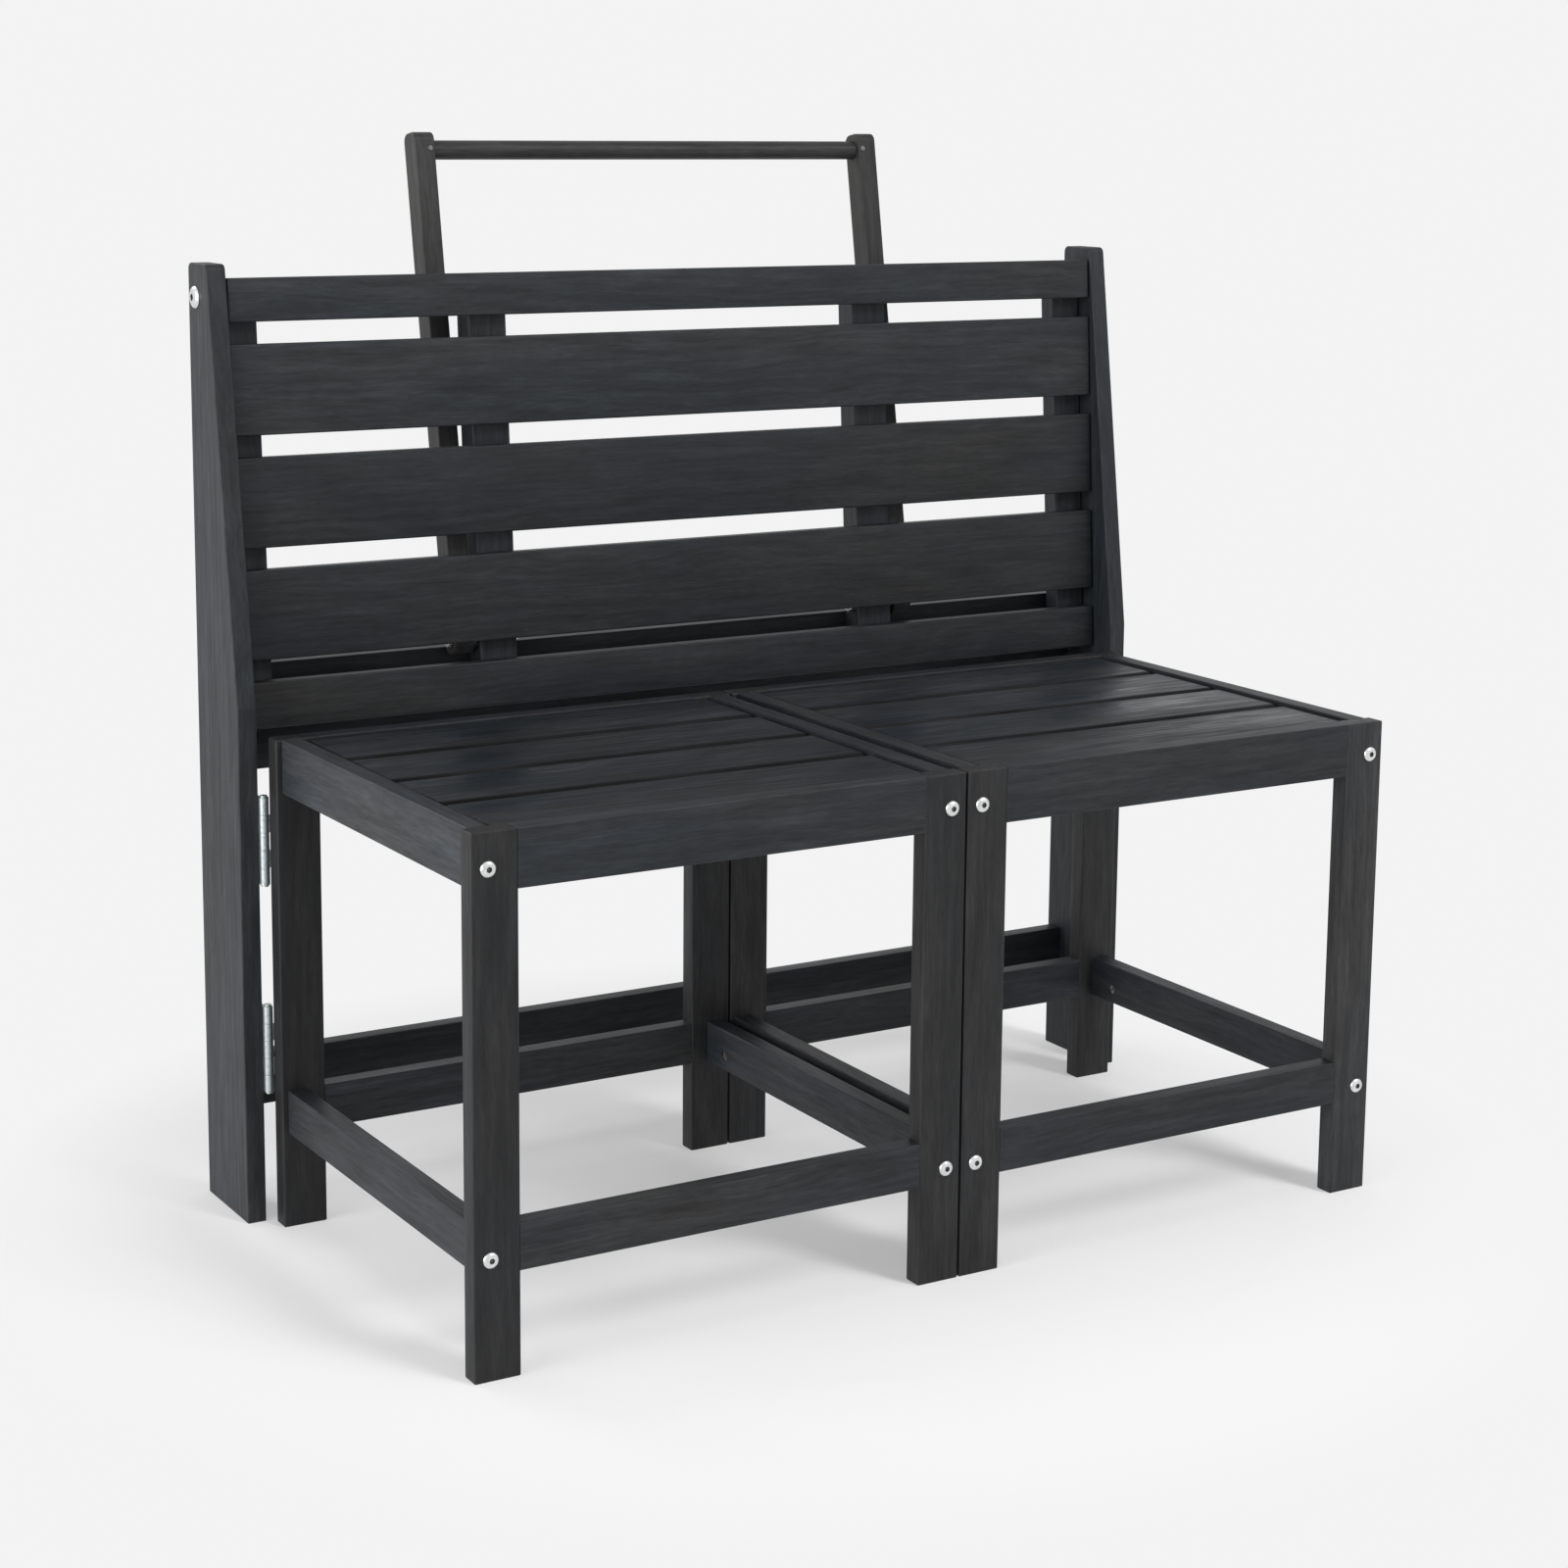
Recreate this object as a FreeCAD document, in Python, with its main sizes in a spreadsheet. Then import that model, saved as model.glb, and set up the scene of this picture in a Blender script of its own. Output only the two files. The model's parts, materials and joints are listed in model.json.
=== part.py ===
"""Convertible bench and picnic table, modelled piece by piece in millimetres.

The frame has +Z up, the seats face -Y, and the origin is the middle of the
bounding box on the floor. Every piece is drawn in a build frame whose Y starts at
the front of the legs, and its own placement then moves it to the part's frame.
"""
import FreeCAD, Part
import os
import re

import Sketcher

# Driving sizes, each written once
SIZES = {
    # Two stools side by side
    "seat_height": 450.0,
    "stool_width": 462.0,
    "stool_depth": 419.0,
    "stool_gap": 2.0,
    "leg_width": 41.0,
    "leg_depth": 19.0,
    "board_thick": 18.0,
    "apron_height": 49.0,
    "stretcher_height": 40.0,
    "stretcher_floor": 88.0,
    "face_inset": 0.5,
    "side_inset": 5.5,
    "edge_ease": 1.2,
    # Mortise and tenon joints
    "tenon_length": 12.0,
    "post_tenon_length": 10.0,
    "tenon_thick": 8.0,
    "tenon_shoulder": 7.0,
    "tenon_clearance": 0.2,
    # Seat boards and the cleats under them
    "seat_slat_thick": 18.0,
    "seat_recess": 2.0,
    "seat_slat_gap": 8.0,
    "seat_side_gap": 2.0,
    "seat_end_gap": 3.0,
    "cleat_width": 18.0,
    "cleat_height": 22.0,
    # Machine bolts through the legs and the barrel nuts they pull on
    "bolt_radius": 3.0,
    "bolt_length": 58.0,
    "bolt_head_radius": 7.0,
    "bolt_head_height": 3.0,
    "bolt_head_bevel": 1.5,
    "socket_radius": 2.9,
    "socket_depth": 2.0,
    "low_bolt_height": 102.0,
    "high_bolt_drop": 30.0,
    "nut_radius": 5.0,
    "nut_length": 15.0,
    "nut_setback": 51.0,
    # Wood screws
    "screw_radius": 2.0,
    "screw_head_radius": 4.0,
    "screw_head_height": 1.8,
    "screw_grip": 12.0,
    "slat_screw_spread": 50.0,
    "narrow_screw_rise": 11.0,
    "seat_screw_inset": 11.0,
    # Posts and the rails behind them
    "post_thick": 18.0,
    "post_depth": 98.0,
    "post_top_depth": 44.0,
    "post_height": 863.0,
    "post_knee_height": 475.0,
    "post_corner_radius": 6.0,
    "rail_thick": 18.0,
    "upper_rail_height": 98.0,
    "upper_rail_floor": 402.5,
    "lower_rail_height": 49.0,
    "lower_rail_floor": 84.0,
    # Butt hinges between posts and stools
    "hinge_gap_across": 7.4,
    "hinge_gap_deep": 7.0,
    "hinge_height": 80.0,
    "upper_hinge_drop": 25.0,
    "lower_hinge_rise": 21.0,
    "knuckle_radius": 4.5,
    "knuckle_play": 0.3,
    "pin_radius": 2.5,
    "pin_play": 0.1,
    "pin_head_radius": 3.4,
    "pin_head_height": 1.5,
    "leaf_thick": 2.0,
    "leaf_width": 21.0,
    "leaf_setback": 1.0,
    "leaf_screw_length": 15.0,
    # Table panel that stands as the backrest
    "panel_lean": 3.8,
    "pivot_height": 833.0,
    "pivot_rear_margin": 17.0,
    "panel_top_overhang": 16.0,
    "panel_side_gap": 1.5,
    "panel_stop_gap": 0.3,
    "table_slat_thick": 18.0,
    "table_slat_width": 81.0,
    "top_slat_width": 39.0,
    "bottom_slat_width": 42.0,
    "table_slat_gap": 19.5,
    "edge_batten_width": 33.0,
    "edge_batten_depth": 20.0,
    "inner_batten_width": 38.0,
    "inner_batten_depth": 26.0,
    "inner_batten_spread": 419.0,
    "batten_end_margin": 4.0,
    "pivot_bolt_radius": 4.0,
    "pivot_bolt_reach": 28.0,
    "pivot_head_radius": 10.0,
    "pivot_head_height": 3.5,
    "pivot_play": 0.1,
    # Prop frame that carries the table
    "prop_pivot_drop": 326.0,
    "prop_lean": 6.0,
    "arm_length": 460.0,
    "arm_width": 20.0,
    "arm_depth": 25.0,
    "arm_gap": 5.2,
    "arm_play": 0.5,
    "spacer_radius": 7.0,
    "arm_tip": 16.0,
    "arm_corner_radius": 8.0,
    "arm_end_flat": 0.1,
    "rod_radius": 9.0,
    "rod_socket": 10.0,
    "prop_bolt_radius": 3.0,
    "prop_head_radius": 6.5,
    "prop_head_height": 3.0,
    "prop_nut_radius": 5.5,
    "prop_nut_height": 5.0,
    "prop_bolt_proud": 1.0,
    "nail_radius": 1.0,
    "nail_head_radius": 2.6,
    "nail_head_height": 0.8,
    "nail_length": 20.0,
}

# Two places closer than this, in millimetres, are the same place
TOUCHING = 0.01
# How many boards a seat has, and where the screws sit along a hinge as shares of its height
SEAT_SLATS = 4
SCREW_SHARES = (0.15, 0.5, 0.85)
# Which of a hinge's five knuckles belong to the post and which to the stool, from below
KNUCKLES = 5
POST_KNUCKLES = (0, 2, 4)
STOOL_KNUCKLES = (1, 3)
HINGE_FLOORS = ("lower_hinge_floor", "upper_hinge_floor")

# Places worked out from the driving sizes
LAYOUT = {
    "left_stool_x": "-stool_width - stool_gap / 2",
    "right_stool_x": "stool_gap / 2",
    "rear_leg_y": "stool_depth - leg_depth",
    "rail_reach": "stool_width - 2 * leg_width",
    "side_rail_reach": "stool_depth - 2 * leg_depth",
    "far_side_x": "stool_width - side_inset - board_thick",
    "rear_rail_y": "stool_depth - face_inset - board_thick",
    "apron_floor": "seat_height - apron_height",
    "high_bolt_height": "seat_height - high_bolt_drop",
    "bolt_inset": "side_inset + board_thick / 2",
    "far_bolt_x": "stool_width - side_inset - board_thick / 2",
    "nut_x": "side_inset + board_thick - nut_length",
    "far_nut_x": "stool_width - side_inset - board_thick",
    "rear_nut_y": "stool_depth - nut_setback",
    "seat_floor": "seat_height - seat_recess - seat_slat_thick",
    "seat_left": "side_inset + board_thick + seat_end_gap",
    "seat_reach": "stool_width - 2 * (side_inset + board_thick + seat_end_gap)",
    "seat_front": "face_inset + board_thick + seat_side_gap",
    "cleat_reach": "stool_depth - 2 * (face_inset + board_thick + seat_side_gap)",
    "seat_slat_pitch": f"(cleat_reach + seat_slat_gap) / {SEAT_SLATS}",
    "seat_slat_width": "seat_slat_pitch - seat_slat_gap",
    "cleat_floor": "seat_floor - cleat_height",
    "cleat_x": "side_inset + board_thick",
    "far_cleat_x": "stool_width - side_inset - board_thick - cleat_width",
    "cleat_screw_length": "cleat_width + screw_grip",
    "seat_screw_length": "cleat_height + screw_grip",
    "seat_screw_x": "side_inset + board_thick + seat_screw_inset",
    "far_seat_screw_x": "stool_width - side_inset - board_thick - seat_screw_inset",
    "post_front": "stool_depth + hinge_gap_deep",
    "post_rear": "post_front + post_depth",
    "post_top_front": "post_rear - post_top_depth",
    "post_inner": "stool_width + stool_gap / 2 + hinge_gap_across",
    "post_outer": "post_inner + post_thick",
    "hinge_x": "post_inner - hinge_gap_across / 2",
    "hinge_y": "stool_depth + hinge_gap_deep / 2",
    "upper_hinge_floor": "high_bolt_height - upper_hinge_drop - hinge_height",
    "lower_hinge_floor": "low_bolt_height + lower_hinge_rise",
    "knuckle_pitch": f"hinge_height / {KNUCKLES}",
    "knuckle_height": "knuckle_pitch - knuckle_play",
    "leaf_start": "knuckle_radius + leaf_setback",
    "pivot_y": "post_rear - pivot_rear_margin",
    "panel_face": "-table_slat_thick - edge_batten_depth / 2",
    "batten_face": "-edge_batten_depth / 2",
    "slat_half": "post_inner - panel_side_gap",
    "panel_drop": "top_slat_width + bottom_slat_width + 3 * table_slat_width + 4 * table_slat_gap",
    "panel_floor": "panel_top_overhang - panel_drop",
    "batten_floor": "panel_floor + batten_end_margin",
    "batten_reach": "panel_drop - 2 * batten_end_margin",
    "inner_batten_far": "(inner_batten_spread + inner_batten_width) / 2",
    "inner_batten_near": "(inner_batten_spread - inner_batten_width) / 2",
    "arm_near": "inner_batten_far + arm_gap",
    "arm_far": "arm_near + arm_width",
    "batten_back": "batten_face + inner_batten_depth",
    "upper_rail_top": "upper_rail_floor + upper_rail_height",
    "stop_y": "pivot_y + (upper_rail_top - pivot_height) * tan(panel_lean) + batten_back / cos(panel_lean)",
    "rear_rail_front": "stop_y + panel_stop_gap",
    "prop_y": "batten_face + inner_batten_depth / 2",
    "prop_pivot_y": "pivot_y + prop_y * cos(panel_lean) - prop_pivot_drop * sin(panel_lean)",
    "prop_pivot_z": "pivot_height - prop_y * sin(panel_lean) - prop_pivot_drop * cos(panel_lean)",
    "prop_tilt": "panel_lean + prop_lean",
    "rod_y": "prop_pivot_y + arm_length * sin(prop_tilt)",
    "tip_rear": "rod_y + (arm_tip - arm_corner_radius) * sin(prop_tilt)",
    "rear_most": "tip_rear + (arm_depth / 2 - arm_corner_radius) * cos(prop_tilt) + arm_corner_radius",
    "origin_y": "(rear_most - bolt_head_height) / 2",
}

AXES = {
    "x": FreeCAD.Rotation(FreeCAD.Vector(0, 1, 0), 90),
    "-x": FreeCAD.Rotation(FreeCAD.Vector(0, 1, 0), -90),
    "y": FreeCAD.Rotation(FreeCAD.Vector(1, 0, 0), -90),
    "-y": FreeCAD.Rotation(FreeCAD.Vector(1, 0, 0), 90),
    "z": FreeCAD.Rotation(),
}

doc = FreeCAD.newDocument("convertible_bench")
pieces = []


def bound(text, inside_layout=False):
    """Returns an expression with each size and place named with its sheet."""
    def name(match):
        word = match.group(0)
        if word in SIZES:
            return "Sizes." + word
        if word in LAYOUT and not inside_layout:
            return "Layout." + word
        return word
    return re.sub(r"[a-z_]+", name, text)


def fill_sheets():
    """Writes the driving sizes as plain numbers and the places as formulas."""
    sizes = doc.addObject("Spreadsheet::Sheet", "Sizes")
    for row, (alias, size) in enumerate(SIZES.items(), 1):
        sizes.set(f"A{row}", alias)
        sizes.set(f"B{row}", str(size))
        sizes.setAlias(f"B{row}", alias)
    doc.recompute()
    layout = doc.addObject("Spreadsheet::Sheet", "Layout")
    for row, (alias, formula) in enumerate(LAYOUT.items(), 1):
        layout.set(f"A{row}", alias)
        layout.set(f"B{row}", "=" + bound(formula, inside_layout=True))
        layout.setAlias(f"B{row}", alias)
    doc.recompute()
    return sizes, layout


sizes, layout = fill_sheets()
probe = doc.addObject("App::FeaturePython", "Probe")
probe.addProperty("App::PropertyFloat", "Reading")


def number(alias):
    """Returns the value of one size or place."""
    sheet = sizes if alias in SIZES else layout
    return float(getattr(sheet, alias))


def value(formula):
    """Returns the number that a formula gives."""
    probe.setExpression("Reading", bound(formula))
    probe.recompute()
    return probe.Reading


def bind(thing, **formulas):
    """Binds properties of an object to formulas."""
    for prop, formula in formulas.items():
        thing.setExpression(prop, bound(formula))
    return thing


def put(thing, at, axis="z"):
    """Sets an object's turn and binds its place."""
    thing.Placement = FreeCAD.Placement(FreeCAD.Vector(), AXES[axis])
    for letter, formula in zip("xyz", at):
        thing.setExpression("Placement.Base." + letter, bound(formula))
    return thing


def box(size, at):
    """A block with its low corner at a point."""
    block = doc.addObject("Part::Box", "block")
    bind(block, Length=size[0], Width=size[1], Height=size[2])
    return put(block, at)


def cylinder(radius, length, at, axis="z"):
    """A round bar from a point along an axis."""
    bar = doc.addObject("Part::Cylinder", "bar")
    bind(bar, Radius=radius, Height=length)
    return put(bar, at, axis)


def cone(base_radius, top_radius, length, at, axis="z"):
    """A cone frustum from a point along an axis."""
    frustum = doc.addObject("Part::Cone", "frustum")
    bind(frustum, Radius1=base_radius, Radius2=top_radius, Height=length)
    return put(frustum, at, axis)


def prism(corner_radius, length, at, axis="z"):
    """A hexagonal bar from a point along an axis."""
    hexagon = doc.addObject("Part::Prism", "hexagon")
    hexagon.Polygon = 6
    bind(hexagon, Circumradius=corner_radius, Height=length)
    return put(hexagon, at, axis)


def moved(at, axis, distance):
    """A point moved some distance along an axis."""
    formulas = list(at)
    index = "xyz".index(axis[-1])
    sign = "-" if axis.startswith("-") else "+"
    formulas[index] = f"{at[index]} {sign} ({distance})"
    return tuple(formulas)


def fuse(members):
    """Joins touching solids into one."""
    joined = doc.addObject("Part::MultiFuse", "joined")
    joined.Shapes = members
    return joined


def group(members):
    """Keeps separate solids together."""
    bundle = doc.addObject("Part::Compound", "bundle")
    bundle.Links = members
    return bundle


def cut(base, tools):
    """Takes the tools out of a solid."""
    result = doc.addObject("Part::Cut", "cut")
    result.Base = base
    result.Tool = tools[0] if len(tools) == 1 else group(tools)
    return result


def board(size, at, along):
    """A block whose four edges along one axis are eased."""
    blank = box(size, at)
    doc.recompute([blank])
    eased = doc.addObject("Part::Fillet", "eased")
    eased.Base = blank
    direction = FreeCAD.Vector(*(float(letter == along) for letter in "xyz"))
    radius = number("edge_ease")
    eased.Edges = [
        (index, radius, radius)
        for index, edge in enumerate(blank.Shape.Edges, 1)
        if edge.tangentAt(edge.FirstParameter).cross(direction).Length < TOUCHING
    ]
    return eased


def deliver(thing, label, x="0"):
    """Names a finished piece of the frame or of a stool and places it."""
    whole = group([thing])
    put(whole, (x, "-origin_y", "0"))
    whole.Label = label
    pieces.append(whole)


def deliver_tilted(thing, label, tilt, y, z):
    """Names a finished piece drawn upright about a pivot and leans it back."""
    whole = group([thing])
    turn = FreeCAD.Rotation(FreeCAD.Vector(-1, 0, 0), number(tilt))
    whole.Placement = FreeCAD.Placement(FreeCAD.Vector(), turn)
    whole.setExpression("Placement.Rotation.Angle", bound(tilt))
    whole.setExpression("Placement.Base.y", bound(y + " - origin_y"))
    whole.setExpression("Placement.Base.z", bound(z))
    whole.Label = label
    pieces.append(whole)


def profile(corners, width, rounds, x):
    """A board with its outline drawn in the YZ plane, its ends rounded and its edges eased."""
    body = doc.addObject("PartDesign::Body", "body")
    sketch = body.newObject("Sketcher::SketchObject", "outline")
    plane = next(f for f in body.Origin.OriginFeatures if f.Role == "YZ_Plane")
    sketch.AttachmentSupport = [(plane, "")]
    sketch.MapMode = "FlatFace"
    points = [FreeCAD.Vector(value(y), value(z), 0) for y, z in corners]
    for index, point in enumerate(points):
        following = points[(index + 1) % len(points)]
        sketch.addGeometry(Part.LineSegment(point, following), False)
    for index, (y, z) in enumerate(corners):
        following = (index + 1) % len(points)
        sketch.addConstraint(Sketcher.Constraint("Coincident", index, 2, following, 1))
        for kind, formula, length in (("DistanceX", y, points[index].x), ("DistanceY", z, points[index].y)):
            place = sketch.addConstraint(Sketcher.Constraint(kind, -1, 1, index, 1, length))
            sketch.setExpression(f"Constraints[{place}]", bound(formula))
    pad = body.newObject("PartDesign::Pad", "pad")
    pad.Profile = sketch
    bind(pad, Length=width)
    doc.recompute()
    last = pad
    along_x = FreeCAD.Vector(1, 0, 0)
    for radius, wanted in rounds:
        places = [FreeCAD.Vector(0, value(y), value(z)) for y, z in wanted]
        names = [
            f"Edge{index}"
            for index, edge in enumerate(last.Shape.Edges, 1)
            if edge.BoundBox.YLength + edge.BoundBox.ZLength < TOUCHING
            and any(edge.CenterOfMass.distanceToLine(at, along_x) < TOUCHING for at in places)
        ]
        last = soften(body, last, names, radius)
    sides = [
        f"Face{index}" for index, face in enumerate(last.Shape.Faces, 1) if face.BoundBox.XLength < TOUCHING
    ]
    soften(body, last, sides, "edge_ease")
    return put(body, (x, "0", "0"))


def soften(body, base, names, radius):
    """Rounds named edges or faces of a body's feature."""
    fillet = body.newObject("PartDesign::Fillet", "fillet")
    fillet.Base = (base, names)
    bind(fillet, Radius=radius)
    body.Tip = fillet
    doc.recompute()
    return fillet


def screw(at, axis, length):
    """A countersunk wood screw from the surface of a board."""
    head = cone("screw_head_radius", "screw_radius", "screw_head_height", at, axis)
    shank = cylinder("screw_radius", length, at, axis)
    return fuse([head, shank])


def bolt(at, axis, radius, length, head_radius, head_height):
    """A machine bolt with a bevelled socket head that bears on a surface."""
    outward = axis[1:] if axis.startswith("-") else "-" + axis
    shank = cylinder(radius, length, at, axis)
    rim = cylinder(head_radius, f"{head_height} - bolt_head_bevel", at, outward)
    crown_at = moved(at, outward, f"{head_height} - bolt_head_bevel")
    crown = cone(head_radius, f"{head_radius} - bolt_head_bevel", "bolt_head_bevel", crown_at, outward)
    socket = prism("socket_radius", "socket_depth", moved(at, outward, head_height), axis)
    return cut(fuse([shank, rim, crown]), [socket])


def tenoned_rail(size, at, tenon_length):
    """A rail along X with a tenon at each end, and the tool that cuts its two mortises."""
    blank = board(size, at, "x")
    tenon_size = (f"{size[0]} + 2 * {tenon_length}", "tenon_thick", f"{size[2]} - 2 * tenon_shoulder")
    tenon_at = (
        f"{at[0]} - {tenon_length}",
        f"{at[1]} + ({size[1]} - tenon_thick) / 2",
        f"{at[2]} + tenon_shoulder",
    )
    mortise_size = tuple(f"{side} + 2 * tenon_clearance" for side in tenon_size)
    mortise_at = tuple(f"{place} - tenon_clearance" for place in tenon_at)
    return fuse([blank, box(tenon_size, tenon_at)]), box(mortise_size, mortise_at)


def hinge_leaf(axis_x, axis_y, floor, knuckles, reach, face, bore_radius, screws):
    """A hinge leaf that reaches from the pin along X, -X or Y, with some of the knuckles."""
    def slab(start, length, low, height):
        if reach == "y":
            return box(("leaf_thick", length, height), (face, f"{axis_y} + {start}", low))
        side = f"{axis_x} + {start}" if reach == "x" else f"{axis_x} - {start} - {length}"
        return box((length, "leaf_thick", height), (side, face, low))
    members = [slab("leaf_start", "leaf_width", floor, "hinge_height")]
    for index in knuckles:
        low = f"{floor} + {index} * knuckle_pitch + knuckle_play / 2"
        members.append(slab("0", "leaf_start", low, "knuckle_height"))
        members.append(cylinder("knuckle_radius", "knuckle_height", (axis_x, axis_y, low)))
    bore = cylinder(bore_radius, "hinge_height", (axis_x, axis_y, floor))
    return cut(fuse(members), [bore, *screws])


def make_stool(name, stool_x, hinge_on_left):
    """Makes one stool with its legs, rails, seat, bolts and its half of the hinges."""
    def finish(thing, piece):
        deliver(thing, f"{name}_{piece}", stool_x)

    sides = (("outer", "inner") if hinge_on_left else ("inner", "outer"))
    heights = ("low_bolt_height", "high_bolt_height")
    near_and_far = (("bolt_inset", "nut_x"), ("far_bolt_x", "far_nut_x"))
    bolts = {}
    nuts = {}
    for side, (bolt_x, nut_x) in zip(sides, near_and_far):
        for end, start, axis, nut_y in (
            ("front", "0", "y", "nut_setback"),
            ("rear", "stool_depth", "-y", "rear_nut_y"),
        ):
            for height in heights:
                key = (end, side, height)
                at = (bolt_x, start, height)
                bolts[key] = bolt(at, axis, "bolt_radius", "bolt_length", "bolt_head_radius",
                                  "bolt_head_height")
                nuts[key] = cylinder("nut_radius", "nut_length", (nut_x, nut_y, height), "x")

    hinge_x = "-hinge_gap_across / 2" if hinge_on_left else "stool_width + hinge_gap_across / 2"
    hinge_reach = "x" if hinge_on_left else "-x"
    screw_x = moved((hinge_x, "0", "0"), hinge_reach, "leaf_start + leaf_width / 2")[0]
    leaf_screws = [
        screw((screw_x, "stool_depth + leaf_thick", f"{floor} + {share} * hinge_height"), "-y",
              "leaf_screw_length")
        for floor in HINGE_FLOORS
        for share in SCREW_SHARES
    ]
    leaves = [
        hinge_leaf(hinge_x, "hinge_y", floor, STOOL_KNUCKLES, hinge_reach, "stool_depth",
                   "pin_radius + pin_play", leaf_screws)
        for floor in HINGE_FLOORS
    ]

    mortises = {}
    for end, rail_y in (("front", "face_inset"), ("rear", "rear_rail_y")):
        for piece, floor, height in (
            ("apron", "apron_floor", "apron_height"),
            ("stretcher", "stretcher_floor", "stretcher_height"),
        ):
            size = ("rail_reach", "board_thick", height)
            rail, mortise = tenoned_rail(size, ("leg_width", rail_y, floor), "tenon_length")
            mortises.setdefault(end, []).append(mortise)
            finish(rail, f"{end}_{piece}")

    for end, leg_y in (("front", "0"), ("rear", "rear_leg_y")):
        for side, leg_x in zip(sides, ("0", "stool_width - leg_width")):
            leg = board(("leg_width", "leg_depth", "seat_height"), (leg_x, leg_y, "0"), "z")
            tools = mortises[end] + [bolts[end, side, height] for height in heights]
            if (end, side) == ("rear", "outer"):
                tools = tools + leaf_screws
            finish(cut(leg, tools), f"{end}_{side}_leg")

    cleat_screws = []
    seat_screws = []
    cleats = []
    for cleat_x, face_x, axis, seat_screw_x in (
        ("cleat_x", "cleat_x + cleat_width", "-x", "seat_screw_x"),
        ("far_cleat_x", "far_cleat_x", "x", "far_seat_screw_x"),
    ):
        own_cleat_screws = [
            screw((face_x, f"seat_front + {gap} * seat_slat_pitch - seat_slat_gap / 2",
                   "cleat_floor + cleat_height / 2"), axis, "cleat_screw_length")
            for gap in range(1, SEAT_SLATS)
        ]
        own_seat_screws = [
            screw((seat_screw_x, f"seat_front + {slat} * seat_slat_pitch + seat_slat_width / 2",
                   "cleat_floor"), "z", "seat_screw_length")
            for slat in range(SEAT_SLATS)
        ]
        cleat_size = ("cleat_width", "cleat_reach", "cleat_height")
        cleat = board(cleat_size, (cleat_x, "seat_front", "cleat_floor"), "y")
        cleats.append(cut(cleat, own_cleat_screws + own_seat_screws))
        cleat_screws.append(own_cleat_screws)
        seat_screws += own_seat_screws
    finish(group(cleats), "seat_cleats")

    for index, (side, rail_x) in enumerate(zip(sides, ("side_inset", "far_side_x"))):
        for piece, floor, height, bolt_height in (
            ("apron", "apron_floor", "apron_height", "high_bolt_height"),
            ("stretcher", "stretcher_floor", "stretcher_height", "low_bolt_height"),
        ):
            rail = board(("board_thick", "side_rail_reach", height), (rail_x, "leg_depth", floor), "y")
            tools = [metal[end, side, bolt_height] for end in ("front", "rear") for metal in (bolts, nuts)]
            if piece == "apron":
                tools = tools + cleat_screws[index]
            finish(cut(rail, tools), f"{side}_{piece}")

    slats = []
    for slat in range(SEAT_SLATS):
        size = ("seat_reach", "seat_slat_width", "seat_slat_thick")
        blank = board(size, ("seat_left", f"seat_front + {slat} * seat_slat_pitch", "seat_floor"), "x")
        slats.append(cut(blank, seat_screws[slat::SEAT_SLATS]))
    finish(group(slats), "seat_slats")
    finish(group(list(bolts.values())), "bolts")
    finish(group([cut(nuts[key], [bolts[key]]) for key in nuts]), "barrel_nuts")
    finish(group(leaves), "hinge_leaves")
    finish(group(leaf_screws + seat_screws + [one for own in cleat_screws for one in own]), "screws")


def make_frame():
    """Makes the posts, the rails between them and the parts fixed to the posts."""
    rails = []
    for name, floor, height in (
        ("upper_rear_rail", "upper_rail_floor", "upper_rail_height"),
        ("lower_rear_rail", "lower_rail_floor", "lower_rail_height"),
    ):
        size = ("2 * post_inner", "rail_thick", height)
        rail, mortise = tenoned_rail(size, ("-post_inner", "rear_rail_front", floor), "post_tenon_length")
        rails.append(mortise)
        deliver(rail, name)

    outline = (
        ("post_front", "0"),
        ("post_rear", "0"),
        ("post_rear", "post_height"),
        ("post_top_front", "post_height"),
        ("post_front", "post_knee_height"),
    )
    all_leaves = []
    all_screws = []
    pivots = []
    pins = []
    for name, post_x, outer, inner_face, leaf_face, hinge_x, into_post, inward in (
        ("left_post", "-post_outer", "-post_outer", "-post_inner",
         "-post_inner", "-hinge_x", "-x", "x"),
        ("right_post", "post_inner", "post_outer", "post_inner",
         "post_inner - leaf_thick", "hinge_x", "x", "-x"),
    ):
        post = profile(outline, "post_thick", [("post_corner_radius", outline[2:4])], post_x)
        reach = "post_thick + panel_side_gap + pivot_bolt_reach"
        pivot = bolt((outer, "pivot_y", "pivot_height"), inward, "pivot_bolt_radius", reach,
                     "pivot_head_radius", "pivot_head_height")
        screw_face = moved((inner_face, "0", "0"), inward, "leaf_thick")[0]
        screws = [
            screw((screw_face, "hinge_y + leaf_start + leaf_width / 2",
                   f"{floor} + {share} * hinge_height"), into_post, "leaf_screw_length")
            for floor in HINGE_FLOORS
            for share in SCREW_SHARES
        ]
        for floor in HINGE_FLOORS:
            all_leaves.append(
                hinge_leaf(hinge_x, "hinge_y", floor, POST_KNUCKLES, "y", leaf_face, "pin_radius", screws))
            bar = cylinder("pin_radius", "hinge_height", (hinge_x, "hinge_y", floor))
            heads = [
                cylinder("pin_head_radius", "pin_head_height", (hinge_x, "hinge_y", low))
                for low in (f"{floor} + hinge_height", f"{floor} - pin_head_height")
            ]
            pins.append(fuse([bar, *heads]))
        deliver(cut(post, rails + [pivot] + screws), name)
        all_screws += screws
        pivots.append(pivot)
    deliver(group(all_leaves), "post_hinge_leaves")
    deliver(group(pins), "hinge_pins")
    deliver(group(all_screws), "post_hinge_screws")
    deliver(group(pivots), "table_pivot_bolts")


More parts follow.
